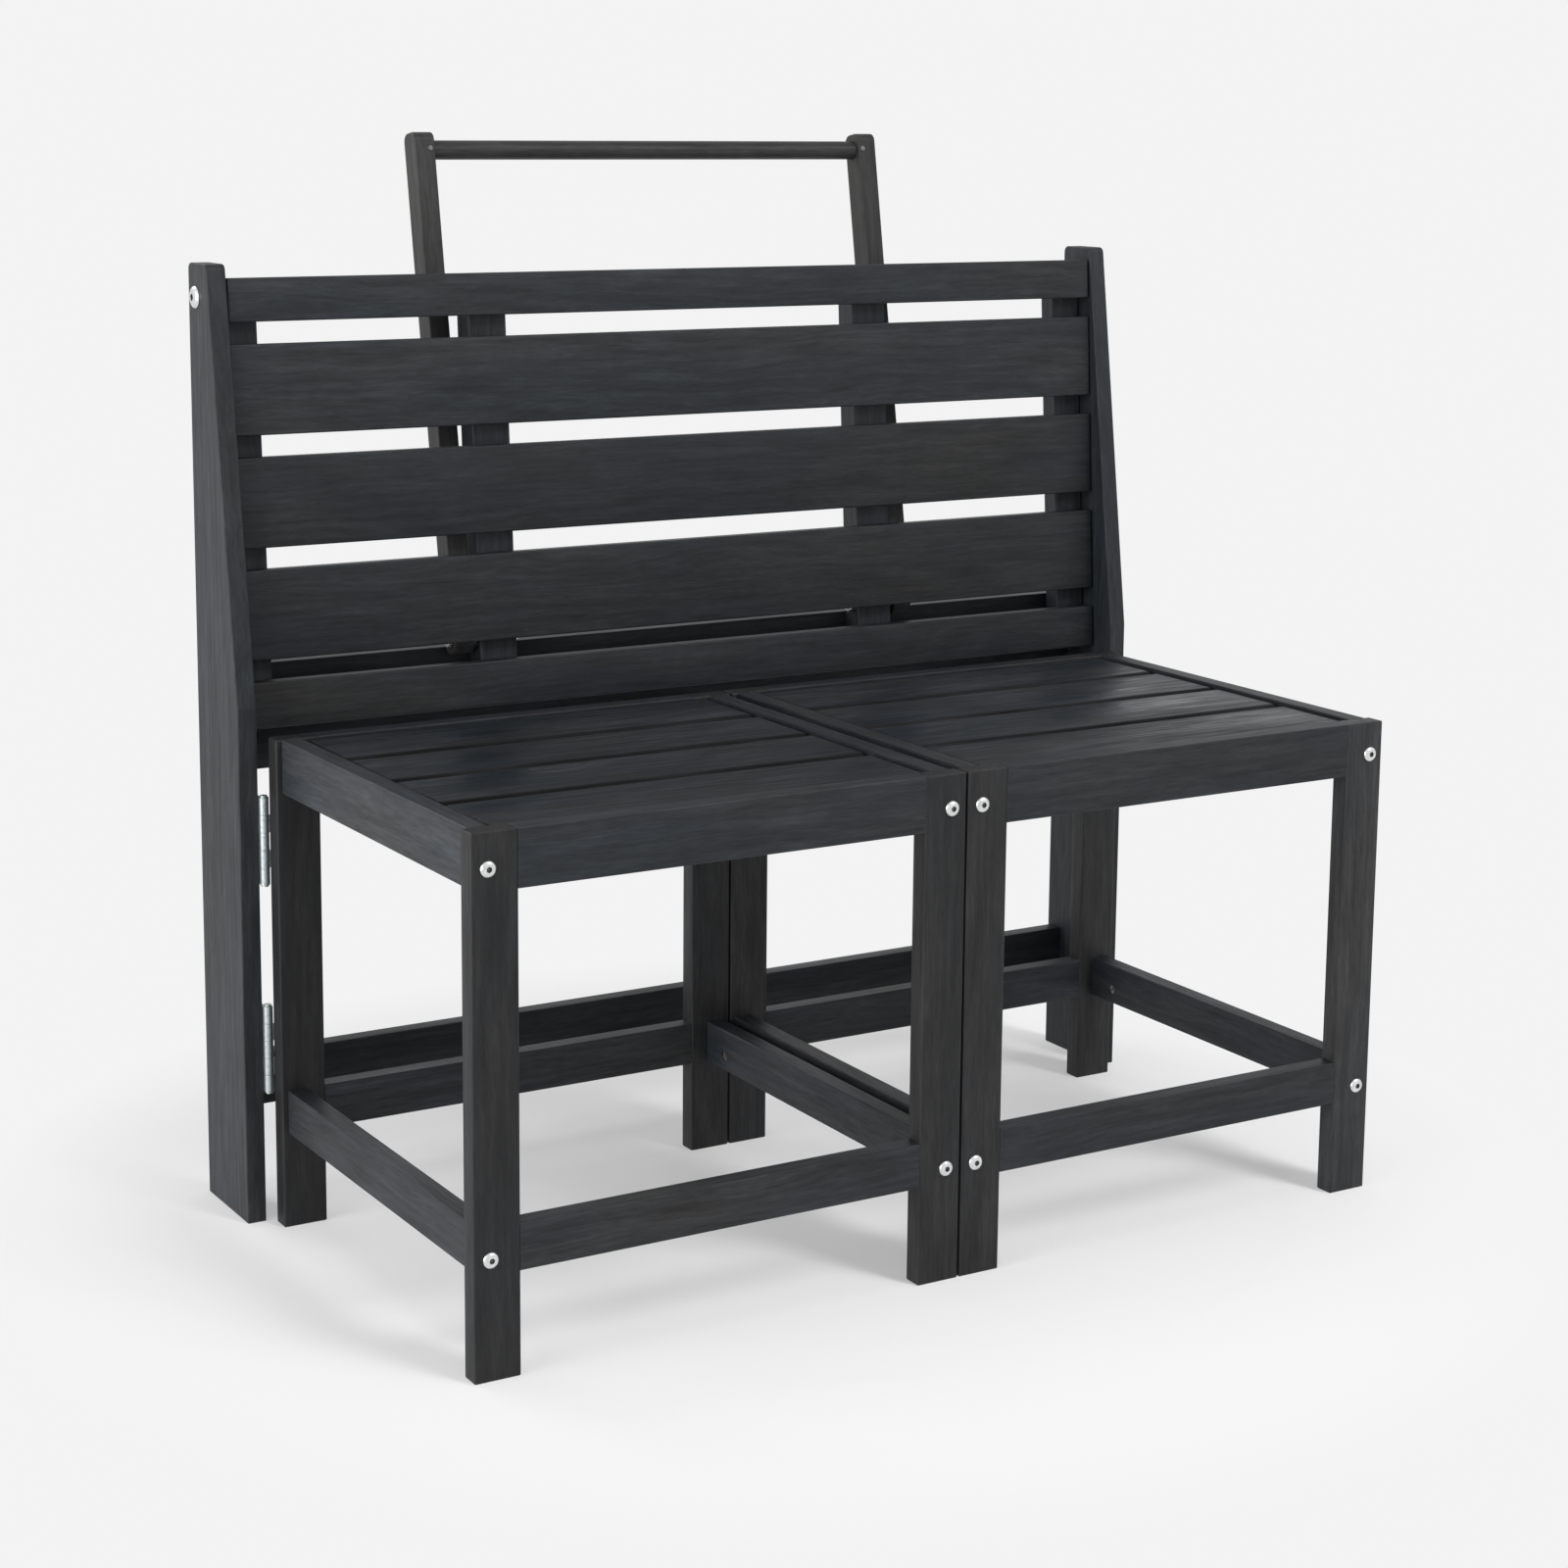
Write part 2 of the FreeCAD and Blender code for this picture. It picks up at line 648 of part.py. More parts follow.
def make_panel():
    """Makes the slatted table panel about its pivot, with the bolts that carry the prop."""
    def finish(thing, label):
        deliver_tilted(thing, label, "panel_lean", "pivot_y", "pivot_height")

    widths = ("top_slat_width", *["table_slat_width"] * 3, "bottom_slat_width")
    lows = []
    low = "panel_top_overhang"
    for width in widths:
        low = f"{low} - {width}"
        lows.append(low)
        low = f"{low} - table_slat_gap"

    battens = (
        ("left_edge_batten", "-slat_half", "edge_batten_width", "edge_batten_depth"),
        ("left_inner_batten", "-inner_batten_far", "inner_batten_width", "inner_batten_depth"),
        ("right_inner_batten", "inner_batten_near", "inner_batten_width", "inner_batten_depth"),
        ("right_edge_batten", "slat_half - edge_batten_width", "edge_batten_width", "edge_batten_depth"),
    )
    slat_screws = [[] for width in widths]
    batten_screws = {}
    for name, batten_x, width, depth in battens:
        batten_screws[name] = []
        for index, slat_low in enumerate(lows):
            if widths[index] == "table_slat_width":
                middle = f"{slat_low} + table_slat_width / 2"
                heights = [f"{middle} - slat_screw_spread / 2", f"{middle} + slat_screw_spread / 2"]
            else:
                heights = [f"{slat_low} + narrow_screw_rise"]
            for height in heights:
                at = (f"{batten_x} + {width} / 2", f"batten_face + {depth}", height)
                one = screw(at, "-y", f"{depth} + screw_grip")
                slat_screws[index].append(one)
                batten_screws[name].append(one)

    for index, (slat_low, width) in enumerate(zip(lows, widths)):
        slat_size = ("2 * slat_half", "table_slat_thick", width)
        slat = board(slat_size, ("-slat_half", "panel_face", slat_low), "x")
        finish(cut(slat, slat_screws[index]), f"table_slat_{index + 1}")

    prop_bolts = {}
    prop_nuts = []
    spacers = []
    for name, outside, inside, face, axis, outward in (
        ("left_inner_batten", "-arm_far - pivot_play", "-inner_batten_near", "-inner_batten_far", "x", "-x"),
        ("right_inner_batten", "arm_far + pivot_play", "inner_batten_near", "inner_batten_far", "-x", "x"),
    ):
        length = "arm_far + pivot_play - inner_batten_near + prop_nut_height + prop_bolt_proud"
        prop_bolts[name] = bolt((outside, "prop_y", "-prop_pivot_drop"), axis, "prop_bolt_radius", length,
                                "prop_head_radius", "prop_head_height")
        nut = prism("prop_nut_radius", "prop_nut_height", (inside, "prop_y", "-prop_pivot_drop"), axis)
        prop_nuts.append(cut(nut, [prop_bolts[name]]))
        spacer_at = (face, "prop_y", "-prop_pivot_drop")
        spacer = cylinder("spacer_radius", "arm_gap - arm_play", spacer_at, outward)
        spacers.append(cut(spacer, [prop_bolts[name]]))
    finish(group(list(prop_bolts.values()) + prop_nuts + spacers), "prop_pivot_bolts")

    bores = {
        "left_edge_batten": ("-slat_half", "x"),
        "right_edge_batten": ("slat_half", "-x"),
    }
    for name, batten_x, width, depth in battens:
        batten = board((width, depth, "batten_reach"), (batten_x, "batten_face", "batten_floor"), "z")
        tools = list(batten_screws[name])
        if name in bores:
            start, axis = bores[name]
            radius = "pivot_bolt_radius + pivot_play"
            tools.append(cylinder(radius, "pivot_bolt_reach + pivot_play", (start, "0", "0"), axis))
        else:
            tools.append(prop_bolts[name])
        finish(cut(batten, tools), name)
    finish(group([one for own in batten_screws.values() for one in own]), "table_screws")


def make_prop():
    """Makes the prop frame about its pivot: two arms and the rod between them."""
    def finish(thing, label):
        deliver_tilted(thing, label, "prop_tilt", "prop_pivot_y", "prop_pivot_z")

    reach = "arm_near + rod_socket"
    bar = cylinder("rod_radius", f"2 * ({reach})", (f"-({reach})", "0", "arm_length"), "x")
    outline = (
        ("-arm_depth / 2", "-arm_depth / 2"),
        ("arm_depth / 2", "-arm_depth / 2"),
        ("arm_depth / 2", "arm_length + arm_tip"),
        ("-arm_depth / 2", "arm_length + arm_tip"),
    )
    nails = []
    for name, arm_x, nail_x in (
        ("left_prop_arm", "-arm_far", "-arm_near - rod_socket / 2"),
        ("right_prop_arm", "arm_near", "arm_near + rod_socket / 2"),
    ):
        rounds = [("arm_depth / 2 - arm_end_flat", outline[0:2]), ("arm_corner_radius", outline[2:4])]
        arm = profile(outline, "arm_width", rounds, arm_x)
        face = (nail_x, "-arm_depth / 2", "arm_length")
        nail = fuse([
            cylinder("nail_radius", "nail_length", face, "y"),
            cylinder("nail_head_radius", "nail_head_height", face, "-y"),
        ])
        bore = cylinder("prop_bolt_radius + pivot_play", "arm_width", (arm_x, "0", "0"), "x")
        nails.append(nail)
        finish(cut(arm, [bar, nail, bore]), name)
    finish(cut(bar, nails), "prop_rod")
    finish(group(nails), "prop_nails")


def export():
    """Checks every object and writes each piece to its own file."""
    doc.recompute()
    for thing in doc.Objects:
        if any(word in thing.State for word in ("Invalid", "Error")):
            raise RuntimeError(f"{thing.Label} failed: {thing.State}")
    for piece in pieces:
        if piece.Shape.isNull() or not piece.Shape.isValid() or not piece.Shape.Solids:
            raise RuntimeError(f"{piece.Label} has no valid solid")
    os.makedirs("parts", exist_ok=True)
    for piece in pieces:
        piece.Shape.exportStep(f"parts/{piece.Label}.step")
    print(len(pieces), "pieces,", sum(len(piece.Shape.Solids) for piece in pieces), "solids")


make_frame()
make_stool("left_stool", "left_stool_x", True)
make_stool("right_stool", "right_stool_x", False)
make_panel()
make_prop()
export()
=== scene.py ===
"""Dresses a slatted garden bench whose backrest flips forward to become a picnic table.

The boards are dark stained softwood with a satin face, fine grain and faintly worn
edges. The bolts, barrel nuts, screws, nails and hinges are zinc plated steel. Every
length is in metres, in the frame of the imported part.
"""
import json
import logging
import math
from dataclasses import dataclass, field
from enum import Enum
from typing import Iterable, Optional, Sequence, Union

import bmesh
import bpy
from mathutils import Euler, Matrix, Vector

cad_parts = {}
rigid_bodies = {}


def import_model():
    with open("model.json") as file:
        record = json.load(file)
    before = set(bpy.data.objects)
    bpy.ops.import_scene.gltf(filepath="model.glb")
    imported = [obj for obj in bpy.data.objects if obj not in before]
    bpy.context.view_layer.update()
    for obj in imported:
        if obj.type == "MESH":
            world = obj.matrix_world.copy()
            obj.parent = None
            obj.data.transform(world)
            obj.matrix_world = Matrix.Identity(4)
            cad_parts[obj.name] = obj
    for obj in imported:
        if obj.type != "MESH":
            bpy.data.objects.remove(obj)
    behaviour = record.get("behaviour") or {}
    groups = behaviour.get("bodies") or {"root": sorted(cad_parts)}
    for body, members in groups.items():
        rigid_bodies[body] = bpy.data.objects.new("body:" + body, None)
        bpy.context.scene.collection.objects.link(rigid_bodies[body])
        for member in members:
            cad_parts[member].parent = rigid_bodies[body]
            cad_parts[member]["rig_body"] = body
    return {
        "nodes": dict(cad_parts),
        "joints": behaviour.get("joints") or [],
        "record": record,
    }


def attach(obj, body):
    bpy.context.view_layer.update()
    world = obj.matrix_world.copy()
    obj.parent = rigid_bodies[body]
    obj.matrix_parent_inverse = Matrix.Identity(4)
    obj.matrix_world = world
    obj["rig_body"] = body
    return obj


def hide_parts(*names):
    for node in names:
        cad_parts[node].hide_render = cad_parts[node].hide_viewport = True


log = logging.getLogger("bench")

MM = 0.001
GOLDEN_STEP = 0.6180339887
Triple = tuple[float, float, float]
Colour = Triple
Fill = Union[float, int, bool, str, Sequence[float], bpy.types.NodeSocket, bpy.types.ID]


class Grain(Enum):
    """The way that a board's grain runs, as the turn that lays that way along X."""

    ACROSS = (0.0, 0.0, 0.0)
    DEEP = (0.0, 0.0, -90.0)
    UP = (0.0, 90.0, 0.0)


class Recess(Enum):
    """The drive recess in a fastener's head, as how often its outline repeats in a turn."""

    NONE = 0
    SLOT = 2
    CROSS = 4
    HEX = 6


class Graph:
    """A node tree with short ways to add and join nodes."""

    def __init__(self, tree: bpy.types.NodeTree) -> None:
        """Takes the tree that the nodes go into.

        Args:
            tree: a shader or geometry node tree.
        """
        self.tree = tree

    def add(self, kind: str, fills: Optional[dict[Union[str, int], Fill]] = None, **settings: Fill) -> bpy.types.Node:
        """Adds a node, sets its options and fills its inputs.

        Args:
            kind: the node's type name.
            fills: what goes into each input, by name or index: a value or another node's output.
            settings: the node's own options.

        Returns:
            The new node.
        """
        node = self.tree.nodes.new(kind)
        for name, setting in settings.items():
            setattr(node, name, setting)
        self.fill(node, fills or {})
        return node

    def fill(self, node: bpy.types.Node, fills: dict[Union[str, int], Fill]) -> None:
        """Fills a node's inputs.

        Args:
            node: the node to fill.
            fills: what goes into each input, as for a new node.
        """
        for key, fill in fills.items():
            if isinstance(fill, bpy.types.NodeSocket):
                self.tree.links.new(fill, node.inputs[key])
            else:
                node.inputs[key].default_value = fill

    def math(self, operation: str, *terms: Fill) -> bpy.types.NodeSocket:
        """Returns the result of one sum on numbers.

        Args:
            operation: the sum's name.
            terms: its numbers or sockets, in order.
        """
        return self.add("ShaderNodeMath", dict(enumerate(terms)), operation=operation).outputs[0]

    def fold(self, operation: str, first: Fill, *others: Fill) -> Fill:
        """Returns the result of one sum run through several numbers, from the first to the last."""
        for other in others:
            first = self.math(operation, first, other)
        return first

    def vector(self, operation: str, *terms: Fill, result: int = 0) -> bpy.types.NodeSocket:
        """Returns the result of one sum on vectors.

        Args:
            operation: the sum's name.
            terms: its vectors or sockets, in order.
            result: which output to read: 0 for a vector, 1 for a number.
        """
        return self.add("ShaderNodeVectorMath", dict(enumerate(terms)), operation=operation).outputs[result]

    def ramp(self, factor: Fill, low: float, high: float, to_low: float, to_high: float) -> bpy.types.NodeSocket:
        """Returns a factor brought from one range into another and held there.

        Args:
            factor: the socket to read.
            low: where the old range starts.
            high: where the old range ends.
            to_low: what the old start becomes.
            to_high: what the old end becomes.
        """
        fills = {"Value": factor, "From Min": low, "From Max": high, "To Min": to_low, "To Max": to_high}
        return self.add("ShaderNodeMapRange", fills, clamp=True).outputs["Result"]

    def blend(self, factor: Fill, first: Fill, second: Fill, way: str = "MIX") -> bpy.types.NodeSocket:
        """Returns two colours mixed.

        Args:
            factor: how much of the second.
            first: the first colour.
            second: the second colour.
            way: the name of the blend.
        """
        first, second = ((*fill, 1.0) if isinstance(fill, tuple) else fill for fill in (first, second))
        fills = {0: factor, 6: first, 7: second}
        return self.add("ShaderNodeMix", fills, data_type="RGBA", blend_type=way).outputs[2]

    def spread(self, number: bpy.types.NodeSocket) -> bpy.types.NodeSocket:
        """Returns a number as a vector of three alike numbers."""
        return self.add("ShaderNodeCombineXYZ", {0: number, 1: number, 2: number}).outputs[0]

    def random(self, seed: Fill, high: float, index: Optional[Fill] = None) -> bpy.types.NodeSocket:
        """Returns a random number for each point or copy, from 0 up.

        Args:
            seed: the socket that sets this draw apart.
            high: the largest number.
            index: the socket that tells the copies apart, if it is given.
        """
        node = self.add("FunctionNodeRandomValue", data_type="FLOAT")
        sockets = {socket.identifier: socket for socket in node.inputs}
        sockets["Max_001"].default_value = high
        self.tree.links.new(seed, sockets["Seed"])
        if index:
            self.tree.links.new(index, sockets["ID"])
        return node.outputs[1]

    def noise(self, place: Fill, waves: Triple, detail: float = 3.0, rough: float = 0.5) -> bpy.types.NodeSocket:
        """Returns smooth noise that is drawn out differently along each axis.

        Args:
            place: the coordinates.
            waves: how many waves go into a metre, along each axis.
            detail: how many finer layers there are.
            rough: how strong the finer layers are.
        """
        spread = self.vector("MULTIPLY", place, waves)
        fills = {"Vector": spread, "Scale": 1.0, "Detail": detail, "Roughness": rough}
        return self.add("ShaderNodeTexNoise", fills).outputs["Fac"]


def emptied(owner: Union[bpy.types.Material, bpy.types.World]) -> Graph:
    """Gives a material or a world an empty node tree, and returns its graph."""
    owner.use_nodes = True
    owner.node_tree.nodes.clear()
    return Graph(owner.node_tree)


def add_object(name: str, data: bpy.types.ID) -> bpy.types.Object:
    """Makes an object from its data and puts it into the scene."""
    made = bpy.data.objects.new(name, data)
    bpy.context.scene.collection.objects.link(made)
    return made


def new_material(name: str) -> tuple[bpy.types.Material, Graph, bpy.types.Node]:
    """Makes a material with one surface shader.

    Args:
        name: the material's name.

    Returns:
        The material, its graph and its surface shader.
    """
    material = bpy.data.materials.new(name)
    graph = emptied(material)
    shader = graph.add("ShaderNodeBsdfPrincipled")
    graph.add("ShaderNodeOutputMaterial", {"Surface": shader.outputs[0]})
    return material, graph, shader


@dataclass(frozen=True)
class StainedTimber:
    """Softwood under a dark satin stain: streaks, growth lines, pores and worn edges.

    A pattern's waves are how many go into a metre, along the grain and twice across it.
    """

    BEND_WAVES = (6.0, 22.0, 22.0)
    STREAK_WAVES = (9.0, 190.0, 190.0)
    DASH_WAVES = (70.0, 460.0, 460.0)
    PORE_WAVES = (42.0, 1500.0, 1500.0)
    CLOUD_WAVES = (4.0, 17.0, 17.0)
    MOTTLE_WAVES = (16.0, 48.0, 48.0)
    RING_WAVES = (1.5, 13.0, 13.0)
    WEAR_WAVES = (30.0, 120.0, 120.0)
    BEND_REACH = (0.0, 0.020, 0.020)
    BOARD_SHIFT = (0.73, 1.31, 2.17)

    name: str
    stain: Colour = (0.0140, 0.0172, 0.0212)
    bare: Colour = (0.0225, 0.0218, 0.0215)
    worn: Colour = (0.125, 0.118, 0.110)
    # How much painted shade darkens the boards' rounded edges
    edge_shade: float = 0.0
    roughness: float = 0.50
    gloss: float = 0.25
    streaks: tuple[float, float] = (0.58, 1.46)
    patches: tuple[float, float] = (0.84, 1.20)
    sheen_swing: float = 0.05
    edge_reach: float = 1.6 * MM
    pore_depth: float = 0.12 * MM
    ring_count: float = 11.0

    def material(self, grain: Grain, lean: float = 0.0) -> bpy.types.Material:
        """Makes the finish for boards whose grain runs one way.

        Args:
            grain: the way that the grain runs.
            lean: how far the boards lean back, in degrees.

        Returns:
            The material.
        """
        name = f"{self.name}_{grain.name.lower()}" + (f"_leaning_{round(lean * 10)}" if lean else "")
        if name in bpy.data.materials:
            return bpy.data.materials[name]
        material, graph, shader = new_material(name)
        place = self.board_place(graph, grain, lean)
        bend = graph.spread(graph.noise(place, self.BEND_WAVES, 1.0, 0.4))
        waved = graph.vector("ADD", place, graph.vector("MULTIPLY", bend, self.BEND_REACH))
        streaks = graph.noise(waved, self.STREAK_WAVES, 5.0, 0.66)
        dashes = graph.noise(waved, self.DASH_WAVES, 3.0, 0.6)
        clouds = graph.noise(place, self.CLOUD_WAVES, 3.0, 0.55)
        mottle = graph.noise(place, self.MOTTLE_WAVES, 4.0, 0.6)
        pores = graph.ramp(graph.noise(place, self.PORE_WAVES, 2.0, 0.55), 0.56, 0.70, 0.0, 1.0)
        # Painted shade on the rounded edges; it darkens the colour below and also roughens them
        edge = self.painted_edge_shade(graph)

        colour = graph.blend(graph.ramp(clouds, 0.40, 0.72, 0.0, 0.75), self.stain, self.bare)
        # The board's own factor paints light and shade onto some boards, besides their own tone
        depth = graph.fold(
            "MULTIPLY", graph.ramp(streaks, 0.28, 0.72, *self.streaks), self.rings(graph, place),
            graph.ramp(mottle, 0.32, 0.68, *self.patches), graph.ramp(dashes, 0.30, 0.70, 0.80, 1.22),
            graph.ramp(pores, 0.0, 1.0, 1.0, 0.80), graph.math("SUBTRACT", 1.0, edge), self.board_tone(graph))
        shade = graph.add("ShaderNodeCombineColor", {0: depth, 1: depth, 2: depth}).outputs[0]
        colour = graph.blend(1.0, colour, shade, "MULTIPLY")
        colour = graph.blend(self.wear(graph, place), colour, self.worn)

        swing = self.sheen_swing
        roughness = graph.fold(
            "ADD", graph.ramp(streaks, 0.3, 0.7, swing, -swing), graph.ramp(clouds, 0.3, 0.7, -swing, swing),
            self.roughness, graph.math("MULTIPLY", pores, 0.12), graph.math("MULTIPLY", edge, 0.4))
        relief = graph.math("SUBTRACT", graph.math("MULTIPLY", streaks, 0.7), graph.math("MULTIPLY", pores, 0.5))
        rounded = graph.add("ShaderNodeBevel", {"Radius": self.edge_reach * 0.6}, samples=4).outputs[0]
        bump_fills = {"Height": relief, "Distance": self.pore_depth, "Strength": 0.85, "Normal": rounded}
        bump = graph.add("ShaderNodeBump", bump_fills).outputs[0]
        graph.fill(shader, {"Base Color": colour, "Roughness": roughness, "Normal": bump,
                            "Specular IOR Level": self.gloss})
        return material

    def board_place(self, graph: Graph, grain: Grain, lean: float) -> bpy.types.NodeSocket:
        """Returns coordinates with the grain along X, moved apart from board to board."""
        turn = Euler([math.radians(a) for a in grain.value])
        turn.x += math.radians(lean)
        coordinates = graph.add("ShaderNodeTexCoord").outputs["Object"]
        along = graph.add("ShaderNodeMapping", {"Vector": coordinates, "Rotation": turn}, vector_type="POINT")
        apart = graph.vector("MULTIPLY", self.board_number(graph), self.BOARD_SHIFT)
        return graph.vector("ADD", along.outputs[0], apart)

    def board_number(self, graph: Graph) -> bpy.types.NodeSocket:
        """Returns a number that differs from board to board, as a vector."""
        whole = graph.add("ShaderNodeAttribute", attribute_type="OBJECT", attribute_name="board_number")
        single = graph.add("ShaderNodeAttribute", attribute_type="GEOMETRY", attribute_name="board_number")
        return graph.spread(graph.math("ADD", whole.outputs["Fac"], single.outputs["Fac"]))

    def board_tone(self, graph: Graph) -> bpy.types.NodeSocket:
        """Returns how light or dark a board is drawn: a small random part, and its own factor, which is partly tone
        and partly painted light and shade.
        """
        fills = {"Vector": self.board_number(graph)}
        random = graph.add("ShaderNodeTexWhiteNoise", fills, noise_dimensions="3D").outputs["Value"]
        own = graph.add("ShaderNodeAttribute", attribute_type="OBJECT", attribute_name="board_tone")
        return graph.math("MULTIPLY", graph.ramp(random, 0.0, 1.0, 0.95, 1.05), own.outputs["Fac"])

    def rings(self, graph: Graph, place: bpy.types.NodeSocket) -> bpy.types.NodeSocket:
        """Returns the growth lines, drawn as the contours of noise stretched along the grain."""
        swell = graph.noise(place, self.RING_WAVES, 1.0, 0.4)
        wave = graph.math("SINE", graph.math("MULTIPLY", swell, self.ring_count * math.tau))
        return graph.ramp(wave, -1.0, 1.0, 0.90, 1.08)

    def painted_edge_shade(self, graph: Graph) -> bpy.types.NodeSocket:
        """Returns how much painted shade darkens a board where its surface turns over its edge."""
        normal = graph.add("ShaderNodeTexCoord").outputs["Normal"]
        sides = graph.add("ShaderNodeSeparateXYZ", {0: graph.vector("ABSOLUTE", normal)}).outputs
        squarest = graph.fold("MAXIMUM", *sides)
        return graph.ramp(graph.math("SUBTRACT", 1.0, squarest), 0.01, 0.10, 0.0, self.edge_shade)

    def wear(self, graph: Graph, place: bpy.types.NodeSocket) -> bpy.types.NodeSocket:
        """Returns where the stain is rubbed thin, along a board's edges."""
        rounded = graph.add("ShaderNodeBevel", {"Radius": self.edge_reach}, samples=4).outputs[0]
        flat = graph.add("ShaderNodeNewGeometry").outputs["Normal"]
        turned = graph.math("SUBTRACT", 1.0, graph.vector("DOT_PRODUCT", rounded, flat, result=1))
        broken = graph.ramp(graph.noise(place, self.WEAR_WAVES, 4.0, 0.6), 0.42, 0.66, 0.10, 0.62)
        return graph.math("MULTIPLY", graph.ramp(turned, 0.02, 0.22, 0.0, 1.0), broken)


@dataclass(frozen=True)
class PlatedSteel:
    """Zinc plated steel with a faintly mottled, softly polished face."""

    MOTTLE_WAVES = (260.0, 260.0, 260.0)
    SCUFF_WAVES = (1800.0, 900.0, 2600.0)

    name: str
    bright: Colour
    dull: Colour
    roughness: float
    # Painted shade: the colour of the recess below its lip
    pit: Colour = (0.120, 0.125, 0.130)
    scuff_depth: float = 0.02 * MM

    def material(self) -> bpy.types.Material:
        """Makes the finish.

        Returns:
            The material.
        """
        if self.name in bpy.data.materials:
            return bpy.data.materials[self.name]
        material, graph, shader = new_material(self.name)
        place = graph.add("ShaderNodeTexCoord").outputs["Object"]
        mottle = graph.noise(place, self.MOTTLE_WAVES, 4.0, 0.6)
        scuffs = graph.noise(place, self.SCUFF_WAVES, 2.0, 0.5)
        # The recess below its lip is drawn darker, as painted shade
        shaded_hollow = graph.add("ShaderNodeAttribute", attribute_type="GEOMETRY", attribute_name="shaded_hollow").outputs["Fac"]
        colour = graph.blend(graph.ramp(mottle, 0.35, 0.68, 0.0, 1.0), self.bright, self.dull)
        colour = graph.blend(shaded_hollow, colour, self.pit)
        roughness = graph.fold("ADD", graph.ramp(mottle, 0.3, 0.7, -0.04, 0.10), self.roughness,
                               graph.math("MULTIPLY", shaded_hollow, 0.3))
        bump_fills = {"Height": scuffs, "Distance": self.scuff_depth, "Strength": 0.4}
        bump = graph.add("ShaderNodeBump", bump_fills).outputs[0]
        graph.fill(shader, {"Base Color": colour, "Roughness": roughness, "Normal": bump, "Metallic": 1.0})
        return material


class NodeShape:
    """A tree of geometry nodes that makes a piece, with named inputs for its sizes."""

    def __init__(self, name: str) -> None:
        """Starts an empty tree.

        Args:
            name: the tree's name.
        """
        self.tree = bpy.data.node_groups.new(name, "GeometryNodeTree")
        self.graph = Graph(self.tree)
        self.identifiers: dict[str, str] = {}
        self.tree.interface.new_socket("Geometry", in_out="INPUT", socket_type="NodeSocketGeometry")
        self.tree.interface.new_socket("Geometry", in_out="OUTPUT", socket_type="NodeSocketGeometry")
        self.entry: Optional[bpy.types.Node] = None

    def inputs(self, **kinds: str) -> bpy.types.Node:
        """Adds the tree's named inputs.

        Args:
            kinds: each input's name and the last word of its socket type.

        Returns:
            The group's input node.
        """
        for name, kind in kinds.items():
            socket = self.tree.interface.new_socket(name, in_out="INPUT", socket_type=f"NodeSocket{kind}")
            self.identifiers[name] = socket.identifier
        self.entry = self.graph.add("NodeGroupInput")
        return self.entry

    def close(self, shape: bpy.types.NodeSocket) -> None:
        """Makes copies real, sets the material and ends the tree.

        Args:
            shape: the geometry to give out.
        """
        real = self.graph.add("GeometryNodeRealizeInstances", {"Geometry": shape}).outputs[0]
        fills = {"Geometry": real, "Material": self.entry.outputs["Material"]}
        dressed = self.graph.add("GeometryNodeSetMaterial", fills).outputs[0]
        self.graph.add("NodeGroupOutput", {"Geometry": dressed})

    def make(self, name: str, base: bpy.types.Mesh, **fills: Fill) -> bpy.types.Object:
        """Runs the tree on a mesh and keeps the result as a plain mesh.

        Args:
            name: the new piece's name.
            base: the mesh that the tree starts from.
            fills: a value for each named input.

        Returns:
            The finished piece, with no modifier.
        """
        piece = add_object(name, base)
        modifier = piece.modifiers.new("shape", "NODES")
        modifier.node_group = self.tree
        for key, fill in fills.items():
            modifier[self.identifiers[key]] = fill
        piece.update_tag()
        graph = bpy.context.evaluated_depsgraph_get()
        made = bpy.data.meshes.new_from_object(piece.evaluated_get(graph), depsgraph=graph)
        piece.modifiers.clear()
        piece.data = made
        made.name = name
        bpy.data.meshes.remove(base)
        return piece


